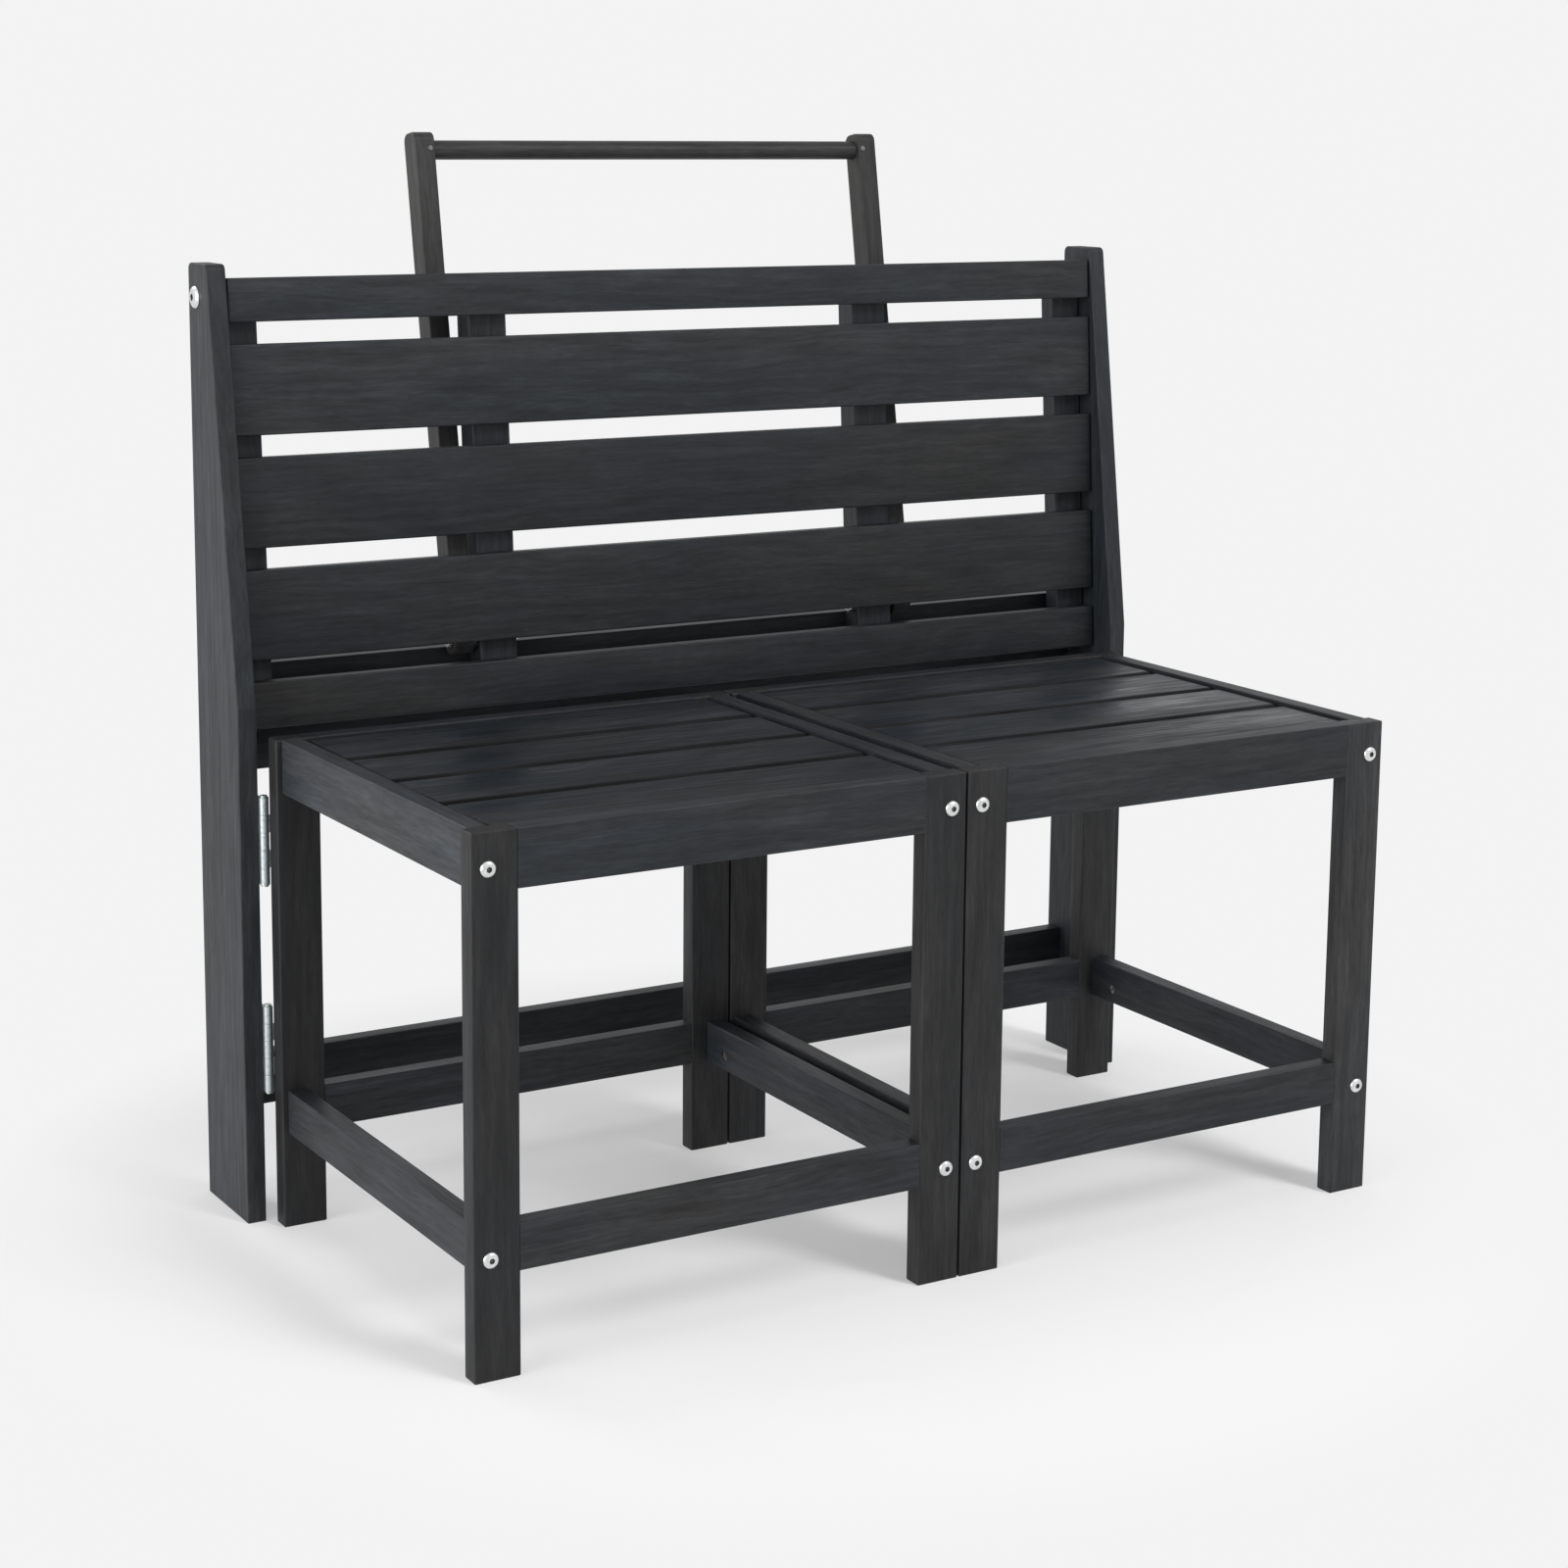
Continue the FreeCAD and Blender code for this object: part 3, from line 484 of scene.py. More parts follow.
class BoardShape(NodeShape):
    """A row of alike boards whose edges and corners are all rounded."""

    SEGMENTS = 3

    def __init__(self) -> None:
        """Builds the tree: a blank, its rounding, and the row of copies."""
        super().__init__("board_row")
        entry = self.inputs(Size="Vector", Start="Vector", Step="Vector", Count="Int", Round="Float",
                            Turn="Rotation", Seed="Int", Material="Material")
        board = self.rounded_blank(entry)
        fills = {"Count": entry.outputs["Count"], "Start Location": entry.outputs["Start"],
                 "Offset": entry.outputs["Step"]}
        row = self.graph.add("GeometryNodeMeshLine", fills, mode="OFFSET").outputs[0]
        fills = {"Points": row, "Instance": board}
        copies = self.graph.add("GeometryNodeInstanceOnPoints", fills).outputs[0]
        copies = self.number(copies, entry)
        real = self.graph.add("GeometryNodeRealizeInstances", {"Geometry": copies}).outputs[0]
        fills = {"Geometry": real, "Rotation": entry.outputs["Turn"]}
        self.close(self.graph.add("GeometryNodeTransform", fills).outputs[0])

    def rounded_blank(self, entry: bpy.types.Node) -> bpy.types.NodeSocket:
        """Makes one board about the origin.

        A block's grid is split evenly, so its outer lines are gathered into the rounded
        edges and its middle stretch spans the flat faces.

        Args:
            entry: the group's input node.

        Returns:
            The board's mesh.
        """
        graph = self.graph
        lines = 2 * self.SEGMENTS + 2
        flat_share = 1.0 / (2 * self.SEGMENTS + 1)
        fills = {"Size": (2.0, 2.0, 2.0), "Vertices X": lines, "Vertices Y": lines, "Vertices Z": lines}
        blank = graph.add("GeometryNodeMeshCube", fills).outputs["Mesh"]
        spot = graph.add("GeometryNodeInputPosition").outputs[0]
        side = graph.vector("SIGN", spot)
        reach = graph.vector("SUBTRACT", graph.vector("ABSOLUTE", spot), (flat_share,) * 3)
        reach = graph.vector("MAXIMUM", reach, (0.0, 0.0, 0.0))
        reach = graph.vector("SCALE", reach)
        reach.node.inputs["Scale"].default_value = 1.0 / (1.0 - flat_share)
        outward = graph.vector("NORMALIZE", graph.vector("MULTIPLY", reach, side))
        radii = graph.spread(entry.outputs["Round"])
        half = graph.vector("MULTIPLY", entry.outputs["Size"], (0.5, 0.5, 0.5))
        core = graph.vector("MULTIPLY", graph.vector("SUBTRACT", half, radii), side)
        place = graph.vector("ADD", core, graph.vector("MULTIPLY", outward, radii))
        fills = {"Geometry": blank, "Position": place}
        board = graph.add("GeometryNodeSetPosition", fills).outputs[0]
        return graph.add("GeometryNodeSetShadeSmooth", {"Geometry": board}).outputs[0]

    def number(self, copies: bpy.types.NodeSocket, entry: bpy.types.Node) -> bpy.types.NodeSocket:
        """Gives each copy a number of its own, which its grain and tone follow."""
        index = self.graph.add("GeometryNodeInputIndex").outputs[0]
        random = self.graph.random(entry.outputs["Seed"], 1.0, index)
        fills = {"Geometry": copies, "Name": "board_number", "Value": random}
        stored = self.graph.add("GeometryNodeStoreNamedAttribute", fills, data_type="FLOAT", domain="INSTANCE")
        return stored.outputs[0]


class ScatterShape(NodeShape):
    """Copies of one fastener, set on points and turned the way that each point faces."""

    def __init__(self) -> None:
        """Builds the tree."""
        super().__init__("fasteners_on_points")
        entry = self.inputs(Template="Object", Seed="Int", Material="Material")
        graph = self.graph
        facing = graph.add("GeometryNodeInputNamedAttribute", {"Name": "facing"}, data_type="FLOAT_VECTOR")
        turn = graph.add("FunctionNodeAlignRotationToVector", {"Vector": facing.outputs[0]}, axis="Z").outputs[0]
        spin = graph.random(entry.outputs["Seed"], math.tau)
        spun = graph.add("ShaderNodeCombineXYZ", {2: spin}).outputs[0]
        spun = graph.add("FunctionNodeEulerToRotation", {0: spun}).outputs[0]
        turn = graph.add("FunctionNodeRotateRotation", {0: turn, 1: spun}, rotation_space="LOCAL").outputs[0]
        template = graph.add("GeometryNodeObjectInfo", {"Object": entry.outputs["Template"]})
        fills = {"Points": entry.outputs["Geometry"], "Instance": template.outputs["Geometry"], "Rotation": turn}
        self.close(graph.add("GeometryNodeInstanceOnPoints", fills).outputs[0])


@dataclass(frozen=True)
class Fastener:
    """A turned fastener: its head's profile above the surface, its recess and its shank."""

    # How wide the tip is beside the shank, and the recess's lip and pit beside its outline
    TIP_SHARE = 0.55
    LIP_SHARE = 0.99
    PIT_SHARE = 0.93
    # The angle off an arm, in radians, from which only the arm's width counts
    NEAR_SQUARE = 1.4

    name: str
    profile: tuple[tuple[float, float], ...]
    shank_radius: float
    recess: Recess
    recess_reach: float
    recess_depth: float
    recess_width: float = 0.9 * MM
    tip: float = 0.8 * MM
    lip: float = 0.15 * MM
    segments: int = 48
    crease: float = math.radians(35)

    def outline(self, angle: float) -> float:
        """Returns how far the recess reaches at an angle about the axis."""
        sector = math.tau / self.recess.value
        if self.recess is Recess.HEX:
            return self.recess_reach * math.cos(sector / 2) / math.cos(angle % sector - sector / 2)
        off_arm = abs((angle + sector / 2) % sector - sector / 2)
        across = self.recess_width / 2 / max(math.sin(off_arm), 1e-6)
        if off_arm < self.NEAR_SQUARE:
            return min(self.recess_reach / math.cos(off_arm), across)
        return across

    def rings(self, length: float) -> list[list[tuple[float, float]]]:
        """Returns each ring's radius and height at every angle, from the tip to the recess."""
        tip = (self.shank_radius * self.TIP_SHARE, -length)
        plain = [tip, (self.shank_radius, self.tip - length), *self.profile]
        made = [[ring] * self.segments for ring in plain]
        if self.recess is not Recess.NONE:
            top = self.profile[-1][1]
            outline = [self.outline(math.tau * k / self.segments) for k in range(self.segments)]
            made.append([(reach, top) for reach in outline])
            made.append([(reach * self.LIP_SHARE, top - self.lip) for reach in outline])
            made.append([(reach * self.PIT_SHARE, top - self.recess_depth) for reach in outline])
        return made

    def mesh(self, length: float) -> bpy.types.Mesh:
        """Builds the fastener with its head outwards along Z and its seat at the origin.

        Args:
            length: how far the shank reaches below the surface.

        Returns:
            A closed mesh.
        """
        shape = bmesh.new()
        rings = []
        for ring in self.rings(length):
            rings.append([
                shape.verts.new((radius * math.cos(math.tau * k / self.segments),
                                 radius * math.sin(math.tau * k / self.segments), height))
                for k, (radius, height) in enumerate(ring)
            ])
        for low, high in zip(rings, rings[1:]):
            for k in range(self.segments):
                after = (k + 1) % self.segments
                shape.faces.new((low[k], low[after], high[after], high[k]))
        shape.faces.new(list(reversed(rings[0])))
        shape.faces.new(rings[-1])
        bmesh.ops.recalc_face_normals(shape, faces=shape.faces)
        for face in shape.faces:
            face.smooth = len(face.verts) == 4
        for edge in shape.edges:
            edge.smooth = edge.calc_face_angle(0.0) < self.crease
        mesh = bpy.data.meshes.new(self.name)
        shape.to_mesh(mesh)
        shape.free()
        # Marks the recess below its lip, which the plating's material darkens with painted shade
        shaded_hollow = mesh.attributes.new("shaded_hollow", "FLOAT", "POINT")
        if self.recess is not Recess.NONE:
            inside = len(mesh.vertices) - 2 * self.segments
            for index in range(inside, len(mesh.vertices)):
                shaded_hollow.data[index].value = 1.0
        return mesh


@dataclass
class Placing:
    """Where one fastener of the frame sits: its seat, the way its head faces and its length."""

    seat: Vector
    facing: Vector
    length: float


def span(points: Sequence[Vector]) -> tuple[Vector, Vector]:
    """Returns the low and high corners of the box round some points."""
    low = Vector([min(point[axis] for point in points) for axis in range(3)])
    high = Vector([max(point[axis] for point in points) for axis in range(3)])
    return low, high


def evened(placings: list[Placing]) -> list[Placing]:
    """Makes all the placings as long as the shortest, since one template serves them all."""
    shortest = min(placing.length for placing in placings)
    for placing in placings:
        placing.length = shortest
    return placings


class Frame:
    """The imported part: its nodes, their boxes and their single solids."""

    WELD = 0.01 * MM
    END_SLICE = 0.05 * MM

    def __init__(self) -> None:
        """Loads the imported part."""
        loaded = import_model()
        self.nodes: dict[str, bpy.types.Object] = loaded["nodes"]
        ranges = {joint["name"]: joint["range_deg"] for joint in loaded["joints"]}
        self.lean = 90.0 - ranges["table_flip"][1]
        self.prop_lean = self.lean - ranges["prop_swing"][0]
        self.slots = {part["node"]: part["material_slot"] for part in loaded["record"]["subparts"]}

    def body(self, node: str) -> str:
        """Returns the body that a node rides on."""
        return self.nodes[node]["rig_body"]

    def points(self, node: str, lean: float = 0.0) -> list[Vector]:
        """Returns a node's corners as they lie once its lean is taken out."""
        upright = self.turn(lean).inverted()
        return [upright @ corner.co for corner in self.nodes[node].data.vertices]

    def turn(self, lean: float) -> Matrix:
        """Returns the turn that leans an upright board back."""
        return Matrix.Rotation(-math.radians(lean), 3, "X")

    def box(self, node: str, lean: float = 0.0) -> tuple[Vector, Vector]:
        """Returns a node's low and high corners once its lean is taken out."""
        return span(self.points(node, lean))

    def solids(self, node: str, lean: float = 0.0) -> list[list[Vector]]:
        """Splits a node into its single solids.

        Args:
            node: the node's name.
            lean: how far the node leans back, in degrees.

        Returns:
            The corners of each solid, with the lean taken out.
        """
        shape = bmesh.new()
        shape.from_mesh(self.nodes[node].data)
        bmesh.ops.remove_doubles(shape, verts=shape.verts, dist=self.WELD)
        upright = self.turn(lean).inverted()
        found = []
        left = set(shape.verts)
        while left:
            group = [left.pop()]
            for vert in group:
                for edge in vert.link_edges:
                    other = edge.other_vert(vert)
                    if other in left:
                        left.remove(other)
                        group.append(other)
            found.append([upright @ vert.co for vert in group])
        shape.free()
        found.sort(key=lambda points: tuple(round(value, 4) for value in sum(points, Vector()) / len(points)))
        return found

    def placings(self, node: str, head_height: float, lean: float = 0.0) -> list[Placing]:
        """Finds where a node's fasteners sit.

        Args:
            node: the node that holds them.
            head_height: how far their heads stand above their seats.
            lean: how far the node leans back, in degrees.

        Returns:
            A placing for each solid, in the part's frame.
        """
        turn = self.turn(lean)
        made = []
        for points in self.solids(node, lean):
            low, high = span(points)
            middle = (low + high) / 2
            axis = max(range(3), key=lambda index: high[index] - low[index])
            along = Vector([float(index == axis) for index in range(3)])
            radii = []
            for end in (low[axis], high[axis]):
                near = [point - middle for point in points if abs(point[axis] - end) < self.END_SLICE]
                radii.append(max((point - along * point[axis]).length for point in near))
            facing = along if radii[1] > radii[0] else -along
            length = high[axis] - low[axis] - head_height
            seat = middle + facing * ((high[axis] - low[axis]) / 2 - head_height)
            made.append(Placing(turn @ seat, turn @ facing, length))
        return made


@dataclass
class Workshop:
    """What every sub-assembly is made with: the frame, the finishes and the shapes."""

    frame: Frame
    timber: StainedTimber
    leg_timber: StainedTimber
    seat_timber: StainedTimber
    prop_timber: StainedTimber
    bright_zinc: PlatedSteel
    hinge_zinc: PlatedSteel
    dull_zinc: PlatedSteel
    stained_nail: PlatedSteel
    boards: BoardShape
    scatter: ScatterShape
    edge_round: float = 1.5 * MM
    tones_and_shade: dict[str, float] = field(default_factory=dict)
    board_count: int = 0

    def mark(self, piece: bpy.types.Object, node: str) -> None:
        """Gives a board its own number, which its grain follows, and its own factor of tone and painted light and
        shade.
        """
        self.board_count += 1
        piece["board_number"] = (self.board_count * GOLDEN_STEP) % 1.0
        piece["board_tone"] = self.tones_and_shade.get(node, 1.0)

    def finish_for(self, node: str) -> StainedTimber:
        """Returns the finish that a board takes: the legs, the seat and the prop have their own."""
        own = {"_leg": self.leg_timber, "seat_slats": self.seat_timber, "prop_arm": self.prop_timber,
               "prop_rod": self.prop_timber}
        return next((finish for ending, finish in own.items() if node.endswith(ending)), self.timber)

    def settle(self, piece: bpy.types.Object, node: str, *others: str) -> None:
        """Makes a new piece stand for its nodes and ride on their body."""
        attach(piece, self.frame.body(node))
        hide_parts(node, *others)
        log.info("%s stands for %s", piece.name, node)

    def stain(self, node: str, grain: Grain, lean: float = 0.0) -> None:
        """Gives a board of the frame its finish."""
        board = self.frame.nodes[node]
        self.mark(board, node)
        board.material_slots[0].material = self.finish_for(node).material(grain, lean)
        log.info("%s is stained", node)

    def plate(self, node: str, finish: PlatedSteel) -> None:
        """Gives a steel piece of the frame its finish."""
        self.frame.nodes[node].material_slots[0].material = finish.material()
        log.info("%s is plated", node)

    def board(self, node: str, grain: Grain, count: int = 1, gap: float = 0.0, lean: float = 0.0,
              edge_round: Optional[float] = None) -> None:
        """Builds a node's boards with rounded edges, in the space that the node holds.

        Args:
            node: the node that the boards stand for.
            grain: the way that the grain runs.
            count: how many boards lie side by side along Y.
            gap: the space between two boards.
            lean: how far they lean back, in degrees.
            edge_round: the radius of their edges, if it isn't the usual one.
        """
        low, high = self.frame.box(node, lean)
        size = high - low
        size.y = (size.y - (count - 1) * gap) / count
        step = Vector((0.0, size.y + gap, 0.0))
        turn = Euler((-math.radians(lean), 0.0, 0.0))
        piece = self.boards.make(
            f"{node}_board", bpy.data.meshes.new("empty"), Size=size, Start=low + size / 2, Step=step,
            Count=count, Round=edge_round or self.edge_round, Turn=turn, Seed=self.board_count,
            Material=self.finish_for(node).material(grain, lean))
        self.mark(piece, node)
        self.settle(piece, node)

    def fasten(self, node: str, fastener: Fastener, placings: Iterable[Placing], finish: PlatedSteel) -> None:
        """Sets a copy of a fastener at each placing.

        Args:
            node: the node that the fasteners stand for.
            fastener: the fastener to copy.
            placings: where the copies sit; they are all as long as the first.
            finish: their plating.
        """
        spots = list(placings)
        template = add_object("template", fastener.mesh(spots[0].length))
        base = bpy.data.meshes.new("seats")
        base.from_pydata([tuple(spot.seat) for spot in spots], [], [])
        facing = base.attributes.new("facing", "FLOAT_VECTOR", "POINT")
        for index, spot in enumerate(spots):
            facing.data[index].vector = spot.facing
        piece = self.scatter.make(f"{node}_set", base, Template=template, Seed=self.board_count,
                                  Material=finish.material())
        left = template.data
        bpy.data.objects.remove(template)
        bpy.data.meshes.remove(left)
        self.settle(piece, node)


LEG_BOLT = Fastener(
    name="leg_bolt",
    profile=((3.0 * MM, -0.4 * MM), (3.0 * MM, 0.0), (6.7 * MM, 0.0), (7.0 * MM, 0.3 * MM), (6.9 * MM, 0.9 * MM),
             (6.4 * MM, 1.7 * MM), (5.5 * MM, 2.4 * MM), (4.5 * MM, 2.85 * MM), (3.9 * MM, 3.0 * MM)),
    shank_radius=3.0 * MM, recess=Recess.HEX, recess_reach=2.6 * MM, recess_depth=1.7 * MM)
PIVOT_BOLT = Fastener(
    name="pivot_bolt",
    profile=((4.0 * MM, -0.4 * MM), (4.0 * MM, 0.0), (9.6 * MM, 0.0), (10.0 * MM, 0.4 * MM), (9.8 * MM, 1.1 * MM),
             (8.9 * MM, 2.1 * MM), (7.4 * MM, 2.9 * MM), (5.6 * MM, 3.4 * MM), (4.6 * MM, 3.5 * MM)),
    shank_radius=4.0 * MM, recess=Recess.HEX, recess_reach=3.5 * MM, recess_depth=2.2 * MM)
WOOD_SCREW = Fastener(
    name="wood_screw",
    profile=((2.0 * MM, -1.8 * MM), (3.85 * MM, -0.15 * MM), (4.0 * MM, -0.05 * MM), (3.9 * MM, 0.0)),
    shank_radius=2.0 * MM, recess=Recess.CROSS, recess_reach=2.2 * MM, recess_depth=1.3 * MM,
    recess_width=1.1 * MM, tip=3.0 * MM)
BARREL_NUT = Fastener(
    name="barrel_nut",
    profile=((5.0 * MM, -0.5 * MM), (4.6 * MM, 0.0)),
    shank_radius=5.0 * MM, recess=Recess.SLOT, recess_reach=3.9 * MM, recess_depth=1.2 * MM,
    recess_width=1.4 * MM, tip=0.4 * MM)
ROD_NAIL = Fastener(
    name="rod_nail",
    profile=((1.0 * MM, 0.0), (2.5 * MM, 0.0), (2.6 * MM, 0.2 * MM), (2.4 * MM, 0.6 * MM), (1.6 * MM, 0.8 * MM)),
    shank_radius=1.0 * MM, recess=Recess.NONE, recess_reach=0.0, recess_depth=0.0)


# How much lighter or darker single boards are drawn, fitted to the tones of one photograph: partly the boards' own
# tone and partly painted light and shade
BOARD_TONES_AND_SHADE = {
    "left_stool_front_outer_leg": 0.84,
    "left_stool_front_inner_leg": 0.84,
    "left_stool_rear_outer_leg": 0.65,
    "right_stool_front_outer_leg": 1.50,
    "left_stool_outer_apron": 1.25,
    "left_stool_seat_slats": 0.68,
    "right_stool_seat_slats": 0.85,
    "table_slat_3": 0.82,
    "table_slat_4": 0.78,
    "table_slat_5": 0.84,
}


@dataclass
class Stool:
    """One of the two square stools that the seat is made of."""

    shop: Workshop
    name: str
    slat_count: int = 4
    slat_gap: float = 8.0 * MM
    slat_round: float = 4.5 * MM
    head_height: float = 3.0 * MM
    nut_setback: float = 1.5 * MM

    def node(self, part: str) -> str:
        """Returns the full name of one of the stool's nodes."""
        return f"{self.name}_{part}"

    def make(self) -> None:
        """Builds and dresses the whole stool."""
        self.make_legs()
        self.make_rails()
        self.make_seat()
        self.make_fasteners()

    def make_legs(self) -> None:
        """Builds the four legs."""
        for end in ("front", "rear"):
            for side in ("outer", "inner"):
                self.shop.board(self.node(f"{end}_{side}_leg"), Grain.UP)

    def make_rails(self) -> None:
        """Dresses the aprons and stretchers: the side ones keep their holes for the barrel nuts."""
        for height in ("apron", "stretcher"):
            for end in ("front", "rear"):
                self.shop.stain(self.node(f"{end}_{height}"), Grain.ACROSS)
            for side in ("outer", "inner"):
                self.shop.stain(self.node(f"{side}_{height}"), Grain.DEEP)

    def make_seat(self) -> None:
        """Builds the seat's slats and dresses the cleats under them."""
        self.shop.board(self.node("seat_slats"), Grain.ACROSS, self.slat_count, self.slat_gap,
                        edge_round=self.slat_round)
        self.shop.stain(self.node("seat_cleats"), Grain.DEEP)

    def make_fasteners(self) -> None:
        """Sets the bolts, barrel nuts, screws and the stool's half of the hinges."""
        shop = self.shop
        bolts = shop.frame.placings(self.node("bolts"), self.head_height)
        shop.fasten(self.node("bolts"), LEG_BOLT, bolts, shop.bright_zinc)
        shop.fasten(self.node("barrel_nuts"), BARREL_NUT, self.nut_placings(), shop.dull_zinc)
        shop.plate(self.node("hinge_leaves"), shop.hinge_zinc)
        screws = evened(shop.frame.placings(self.node("screws"), 0.0))
        shop.fasten(self.node("screws"), WOOD_SCREW, screws, shop.dull_zinc)

    def nut_placings(self) -> list[Placing]:
        """Returns the nuts' places, a little below the face that their holes open on."""
        middle = sum(self.shop.frame.box(self.node("seat_slats")), Vector()) / 2
        made = []
        for placing in self.shop.frame.placings(self.node("barrel_nuts"), 0.0):
            inward = Vector((math.copysign(1.0, middle.x - placing.seat.x), 0.0, 0.0))
            if placing.facing.dot(inward) < 0.0:
                placing.seat += inward * placing.length
                placing.facing = inward
            placing.seat -= inward * self.nut_setback
            placing.length -= self.nut_setback
            made.append(placing)
        return made


@dataclass
class PostFrame:
    """The two posts, the rails between them and what is fixed to the posts."""

    shop: Workshop
    head_height: float = 3.5 * MM

    def make(self) -> None:
        """Builds and dresses the frame."""
        shop = self.shop
        for side in ("left", "right"):
            shop.stain(f"{side}_post", Grain.UP)
        for height in ("upper", "lower"):
            shop.board(f"{height}_rear_rail", Grain.ACROSS)
        shop.plate("post_hinge_leaves", shop.hinge_zinc)
        shop.plate("hinge_pins", shop.hinge_zinc)
        screws = shop.frame.placings("post_hinge_screws", 0.0)
        shop.fasten("post_hinge_screws", WOOD_SCREW, screws, shop.dull_zinc)
        pivots = shop.frame.placings("table_pivot_bolts", self.head_height)
        shop.fasten("table_pivot_bolts", PIVOT_BOLT, pivots, shop.bright_zinc)


@dataclass
class TablePanel:
    """The slatted panel that is the backrest and the table top."""

    shop: Workshop
    slat_count: int = 5

    def make(self) -> None:
        """Builds and dresses the panel."""
        shop = self.shop
        lean = shop.frame.lean
        for index in range(self.slat_count):
            shop.board(f"table_slat_{index + 1}", Grain.ACROSS, lean=lean)
        for side in ("left", "right"):
            for place in ("edge", "inner"):
                shop.stain(f"{side}_{place}_batten", Grain.UP, lean)
        screws = evened(shop.frame.placings("table_screws", 0.0, lean))
        shop.fasten("table_screws", WOOD_SCREW, screws, shop.dull_zinc)
        shop.plate("prop_pivot_bolts", shop.bright_zinc)


@dataclass
class PropFrame:
    """The two arms and the rod that carry the table top."""

    shop: Workshop
    nail_head_height: float = 0.8 * MM

    def make(self) -> None:
        """Builds and dresses the prop frame."""
        shop = self.shop
        lean = shop.frame.prop_lean
        for side in ("left", "right"):
            shop.stain(f"{side}_prop_arm", Grain.UP, lean)
        shop.stain("prop_rod", Grain.ACROSS)
        nails = shop.frame.placings("prop_nails", self.nail_head_height, lean)
        shop.fasten("prop_nails", ROD_NAIL, nails, shop.stained_nail)


def grey(tone: float) -> tuple[float, float, float, float]:
    """Returns an opaque grey."""
    return tone, tone, tone, 1.0


@dataclass(frozen=True)
class Lamp:
    """A square soft light that is aimed at the bench, and may light only the floor."""

    name: str
    place: Triple
    width: float
    power: float
    floor_only: bool = False


@dataclass
class Studio:
    """The pale floor and backdrop, the soft lights and the camera.

    The lamps that light only the floor give the feet their shadows there.
    """

    backdrop: float = 0.896
    floor_tone: float = 0.445
    floor_lift: float = 0.35
    sky_strength: float = 0.66
    floor_radius: float = 14.0
    blend_from: float = 0.47
    blend_to: float = 0.76
    target: Triple = (0.0, 0.0, 0.40)
    lamps: tuple[Lamp, ...] = (
        Lamp("left_softbox", (-3.4, -0.7, 1.1), 2.4, 120.0),
        Lamp("front_softbox", (1.5, -2.8, 3.0), 1.1, 52.0),
        Lamp("rear_softbox", (-1.6, 2.9, 2.9), 1.5, 44.0),
        Lamp("foot_shadow_softbox", (2.6, -6.7, 3.0), 1.9, 800.0, floor_only=True),
        Lamp("overhead_softbox", (0.0, 0.4, 3.1), 2.5, 46.0, floor_only=True),
    )
    camera_place: Triple = (-1.44260, -2.38094, 1.00280)
    azimuth: float = 31.049
    pitch: float = 9.621
    roll: float = -0.524
    lens: float = 70.35
    rise: float = -0.10

    def make(self) -> None:
        """Sets up everything round the bench."""
        self.make_world()
        floor = self.make_floor()
        for lamp in self.lamps:
            self.make_lamp(lamp, floor)
        self.make_camera()

    def seen_rays(self, graph: Graph) -> bpy.types.NodeSocket:
        """Returns 1 for rays that show the backdrop: camera, glossy and transmission rays."""
        path = graph.add("ShaderNodeLightPath").outputs
        return graph.fold("MAXIMUM", path["Is Camera Ray"], path["Is Glossy Ray"], path["Is Transmission Ray"])

    def make_world(self) -> None:
        """Makes the even pale backdrop and the light of the room."""
        world = bpy.data.worlds.new("studio")
        bpy.context.scene.world = world
        graph = emptied(world)
        light = graph.add("ShaderNodeBackground", {"Color": grey(1.0), "Strength": self.sky_strength})
        shown = graph.add("ShaderNodeBackground", {"Color": grey(self.backdrop), "Strength": 1.0})
        mix = graph.add("ShaderNodeMixShader", {0: self.seen_rays(graph), 1: light.outputs[0], 2: shown.outputs[0]})
        graph.add("ShaderNodeOutputWorld", {"Surface": mix.outputs[0]})

    def make_floor(self) -> bpy.types.Object:
        """Lays a round floor that keeps the bench's shadow and fades into the backdrop."""
        shape = bmesh.new()
        bmesh.ops.create_circle(shape, cap_ends=True, segments=96, radius=self.floor_radius)
        mesh = bpy.data.meshes.new("floor")
        shape.to_mesh(mesh)
        shape.free()
        floor = add_object("floor", mesh)
        mesh.materials.append(self.floor_material())
        return floor

    def floor_material(self) -> bpy.types.Material:
        """Makes the floor's finish: matt near the bench, and the backdrop's own tone far from it."""
        material = bpy.data.materials.new("floor")
        graph = emptied(material)
        matt = graph.add("ShaderNodeBsdfDiffuse", {"Color": grey(self.floor_tone)})
        shown = graph.add("ShaderNodeEmission", {"Color": grey(self.backdrop), "Strength": 1.0})
        place = graph.add("ShaderNodeTexCoord").outputs["Object"]
        away = graph.vector("LENGTH", place, result=1)
        far = graph.ramp(away, self.blend_from, self.blend_to, self.floor_lift, 1.0)
        factor = graph.math("MULTIPLY", far, self.seen_rays(graph))
        mix = graph.add("ShaderNodeMixShader", {0: factor, 1: matt.outputs[0], 2: shown.outputs[0]})
        graph.add("ShaderNodeOutputMaterial", {"Surface": mix.outputs[0]})
        return material

    def make_lamp(self, lamp: Lamp, floor: bpy.types.Object) -> None:
        """Hangs one soft light and aims it at the bench.

        Args:
            lamp: the light to hang.
            floor: the only thing lit, where the lamp says so.
        """
        data = bpy.data.lights.new(lamp.name, "AREA")
        data.shape = "SQUARE"
        data.size = lamp.width
        data.energy = lamp.power
        light = add_object(lamp.name, data)
        light.visible_camera = False
        light.location = lamp.place
        light.rotation_euler = (Vector(self.target) - light.location).to_track_quat("-Z", "Y").to_euler()
        if lamp.floor_only:
            lit = bpy.data.collections.new(lamp.name)
            lit.objects.link(floor)
            light.light_linking.receiver_collection = lit

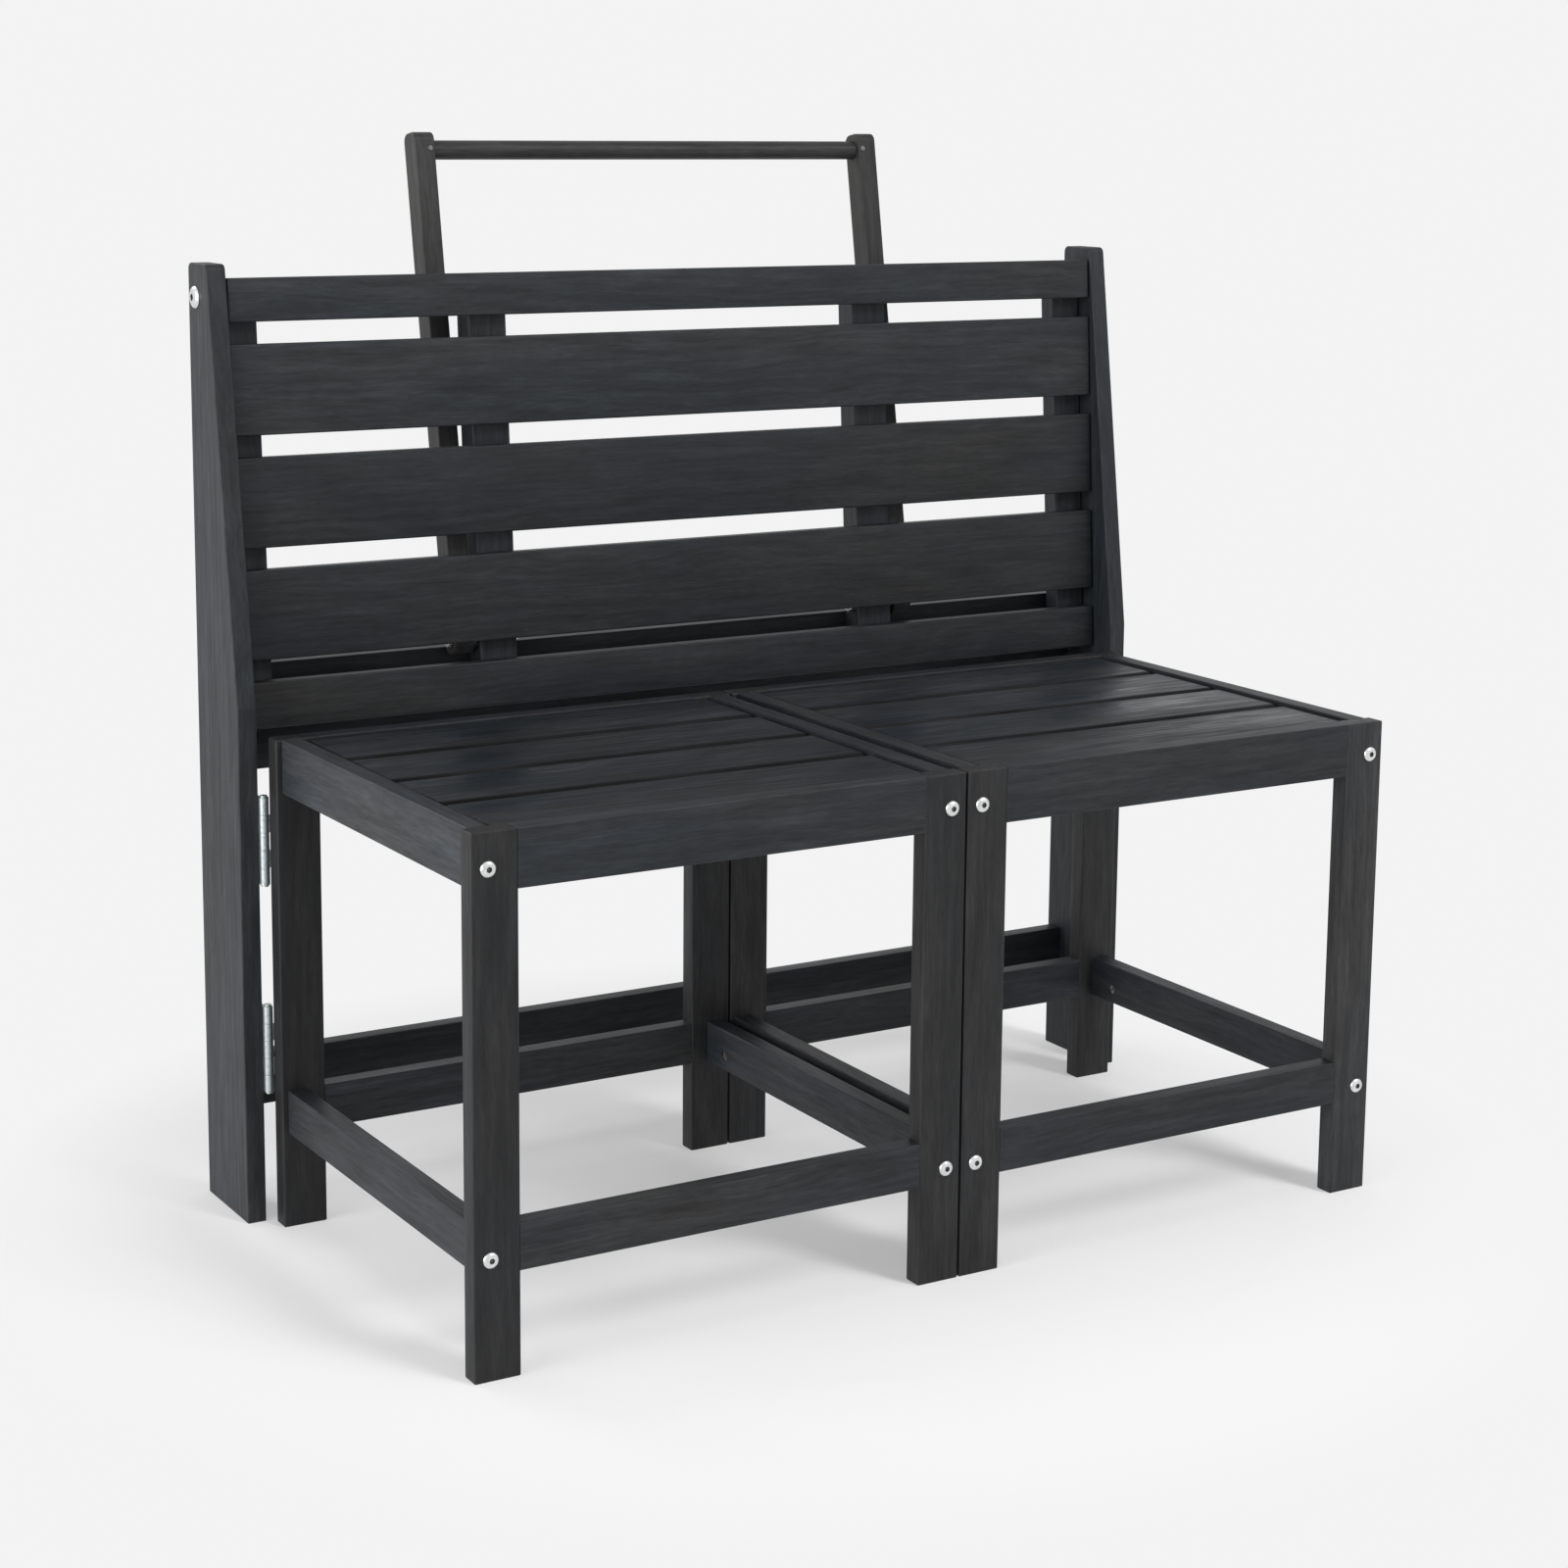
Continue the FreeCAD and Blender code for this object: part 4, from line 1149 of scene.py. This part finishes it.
    def make_camera(self) -> None:
        """Sets the plain camera that comes nearest to the photograph's view at this small shift."""
        data = bpy.data.cameras.new("camera")
        data.lens = self.lens
        data.shift_y = self.rise
        camera = add_object("camera", data)
        turn = (math.radians(90.0 - self.pitch), 0.0, -math.radians(self.azimuth))
        upright = Euler(turn).to_matrix()
        rolled = upright @ Matrix.Rotation(math.radians(-self.roll), 3, "Z")
        camera.matrix_world = Matrix.Translation(self.camera_place) @ rolled.to_4x4()
        bpy.context.scene.camera = camera


def main() -> None:
    """Builds the bench and its studio, and reports each piece."""
    logging.basicConfig(level=logging.INFO, format="%(name)s: %(message)s")
    frame = Frame()
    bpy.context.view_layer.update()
    shop = Workshop(
        frame=frame,
        timber=StainedTimber("stained_timber"),
        leg_timber=StainedTimber("leg_timber", stain=(0.0145, 0.0155, 0.0172), bare=(0.0205, 0.0190, 0.0180)),
        # The seat's slats carry painted shade on their rounded edges
        seat_timber=StainedTimber("seat_timber", stain=(0.0115, 0.0160, 0.0215), roughness=0.46,
                                  streaks=(0.40, 1.90), patches=(0.75, 1.30), sheen_swing=0.15, edge_shade=0.85),
        prop_timber=StainedTimber("prop_timber", stain=(0.0215, 0.0210, 0.0210), bare=(0.0270, 0.0255, 0.0240)),
        bright_zinc=PlatedSteel("bright_zinc", bright=(0.80, 0.81, 0.80), dull=(0.62, 0.63, 0.63), roughness=0.22),
        hinge_zinc=PlatedSteel("hinge_zinc", bright=(0.50, 0.55, 0.56), dull=(0.34, 0.38, 0.39), roughness=0.42),
        dull_zinc=PlatedSteel("dull_zinc", bright=(0.42, 0.42, 0.41), dull=(0.26, 0.26, 0.25), roughness=0.38),
        stained_nail=PlatedSteel("stained_nail", bright=(0.17, 0.17, 0.17), dull=(0.09, 0.09, 0.09), roughness=0.50),
        boards=BoardShape(),
        scatter=ScatterShape(),
        tones_and_shade=BOARD_TONES_AND_SHADE,
    )
    for part in (Stool(shop, "left_stool"), Stool(shop, "right_stool"), PostFrame(shop), TablePanel(shop),
                 PropFrame(shop)):
        part.make()
    Studio().make()
    bpy.context.scene.view_settings.view_transform = "Standard"


if __name__ == "__main__":
    main()
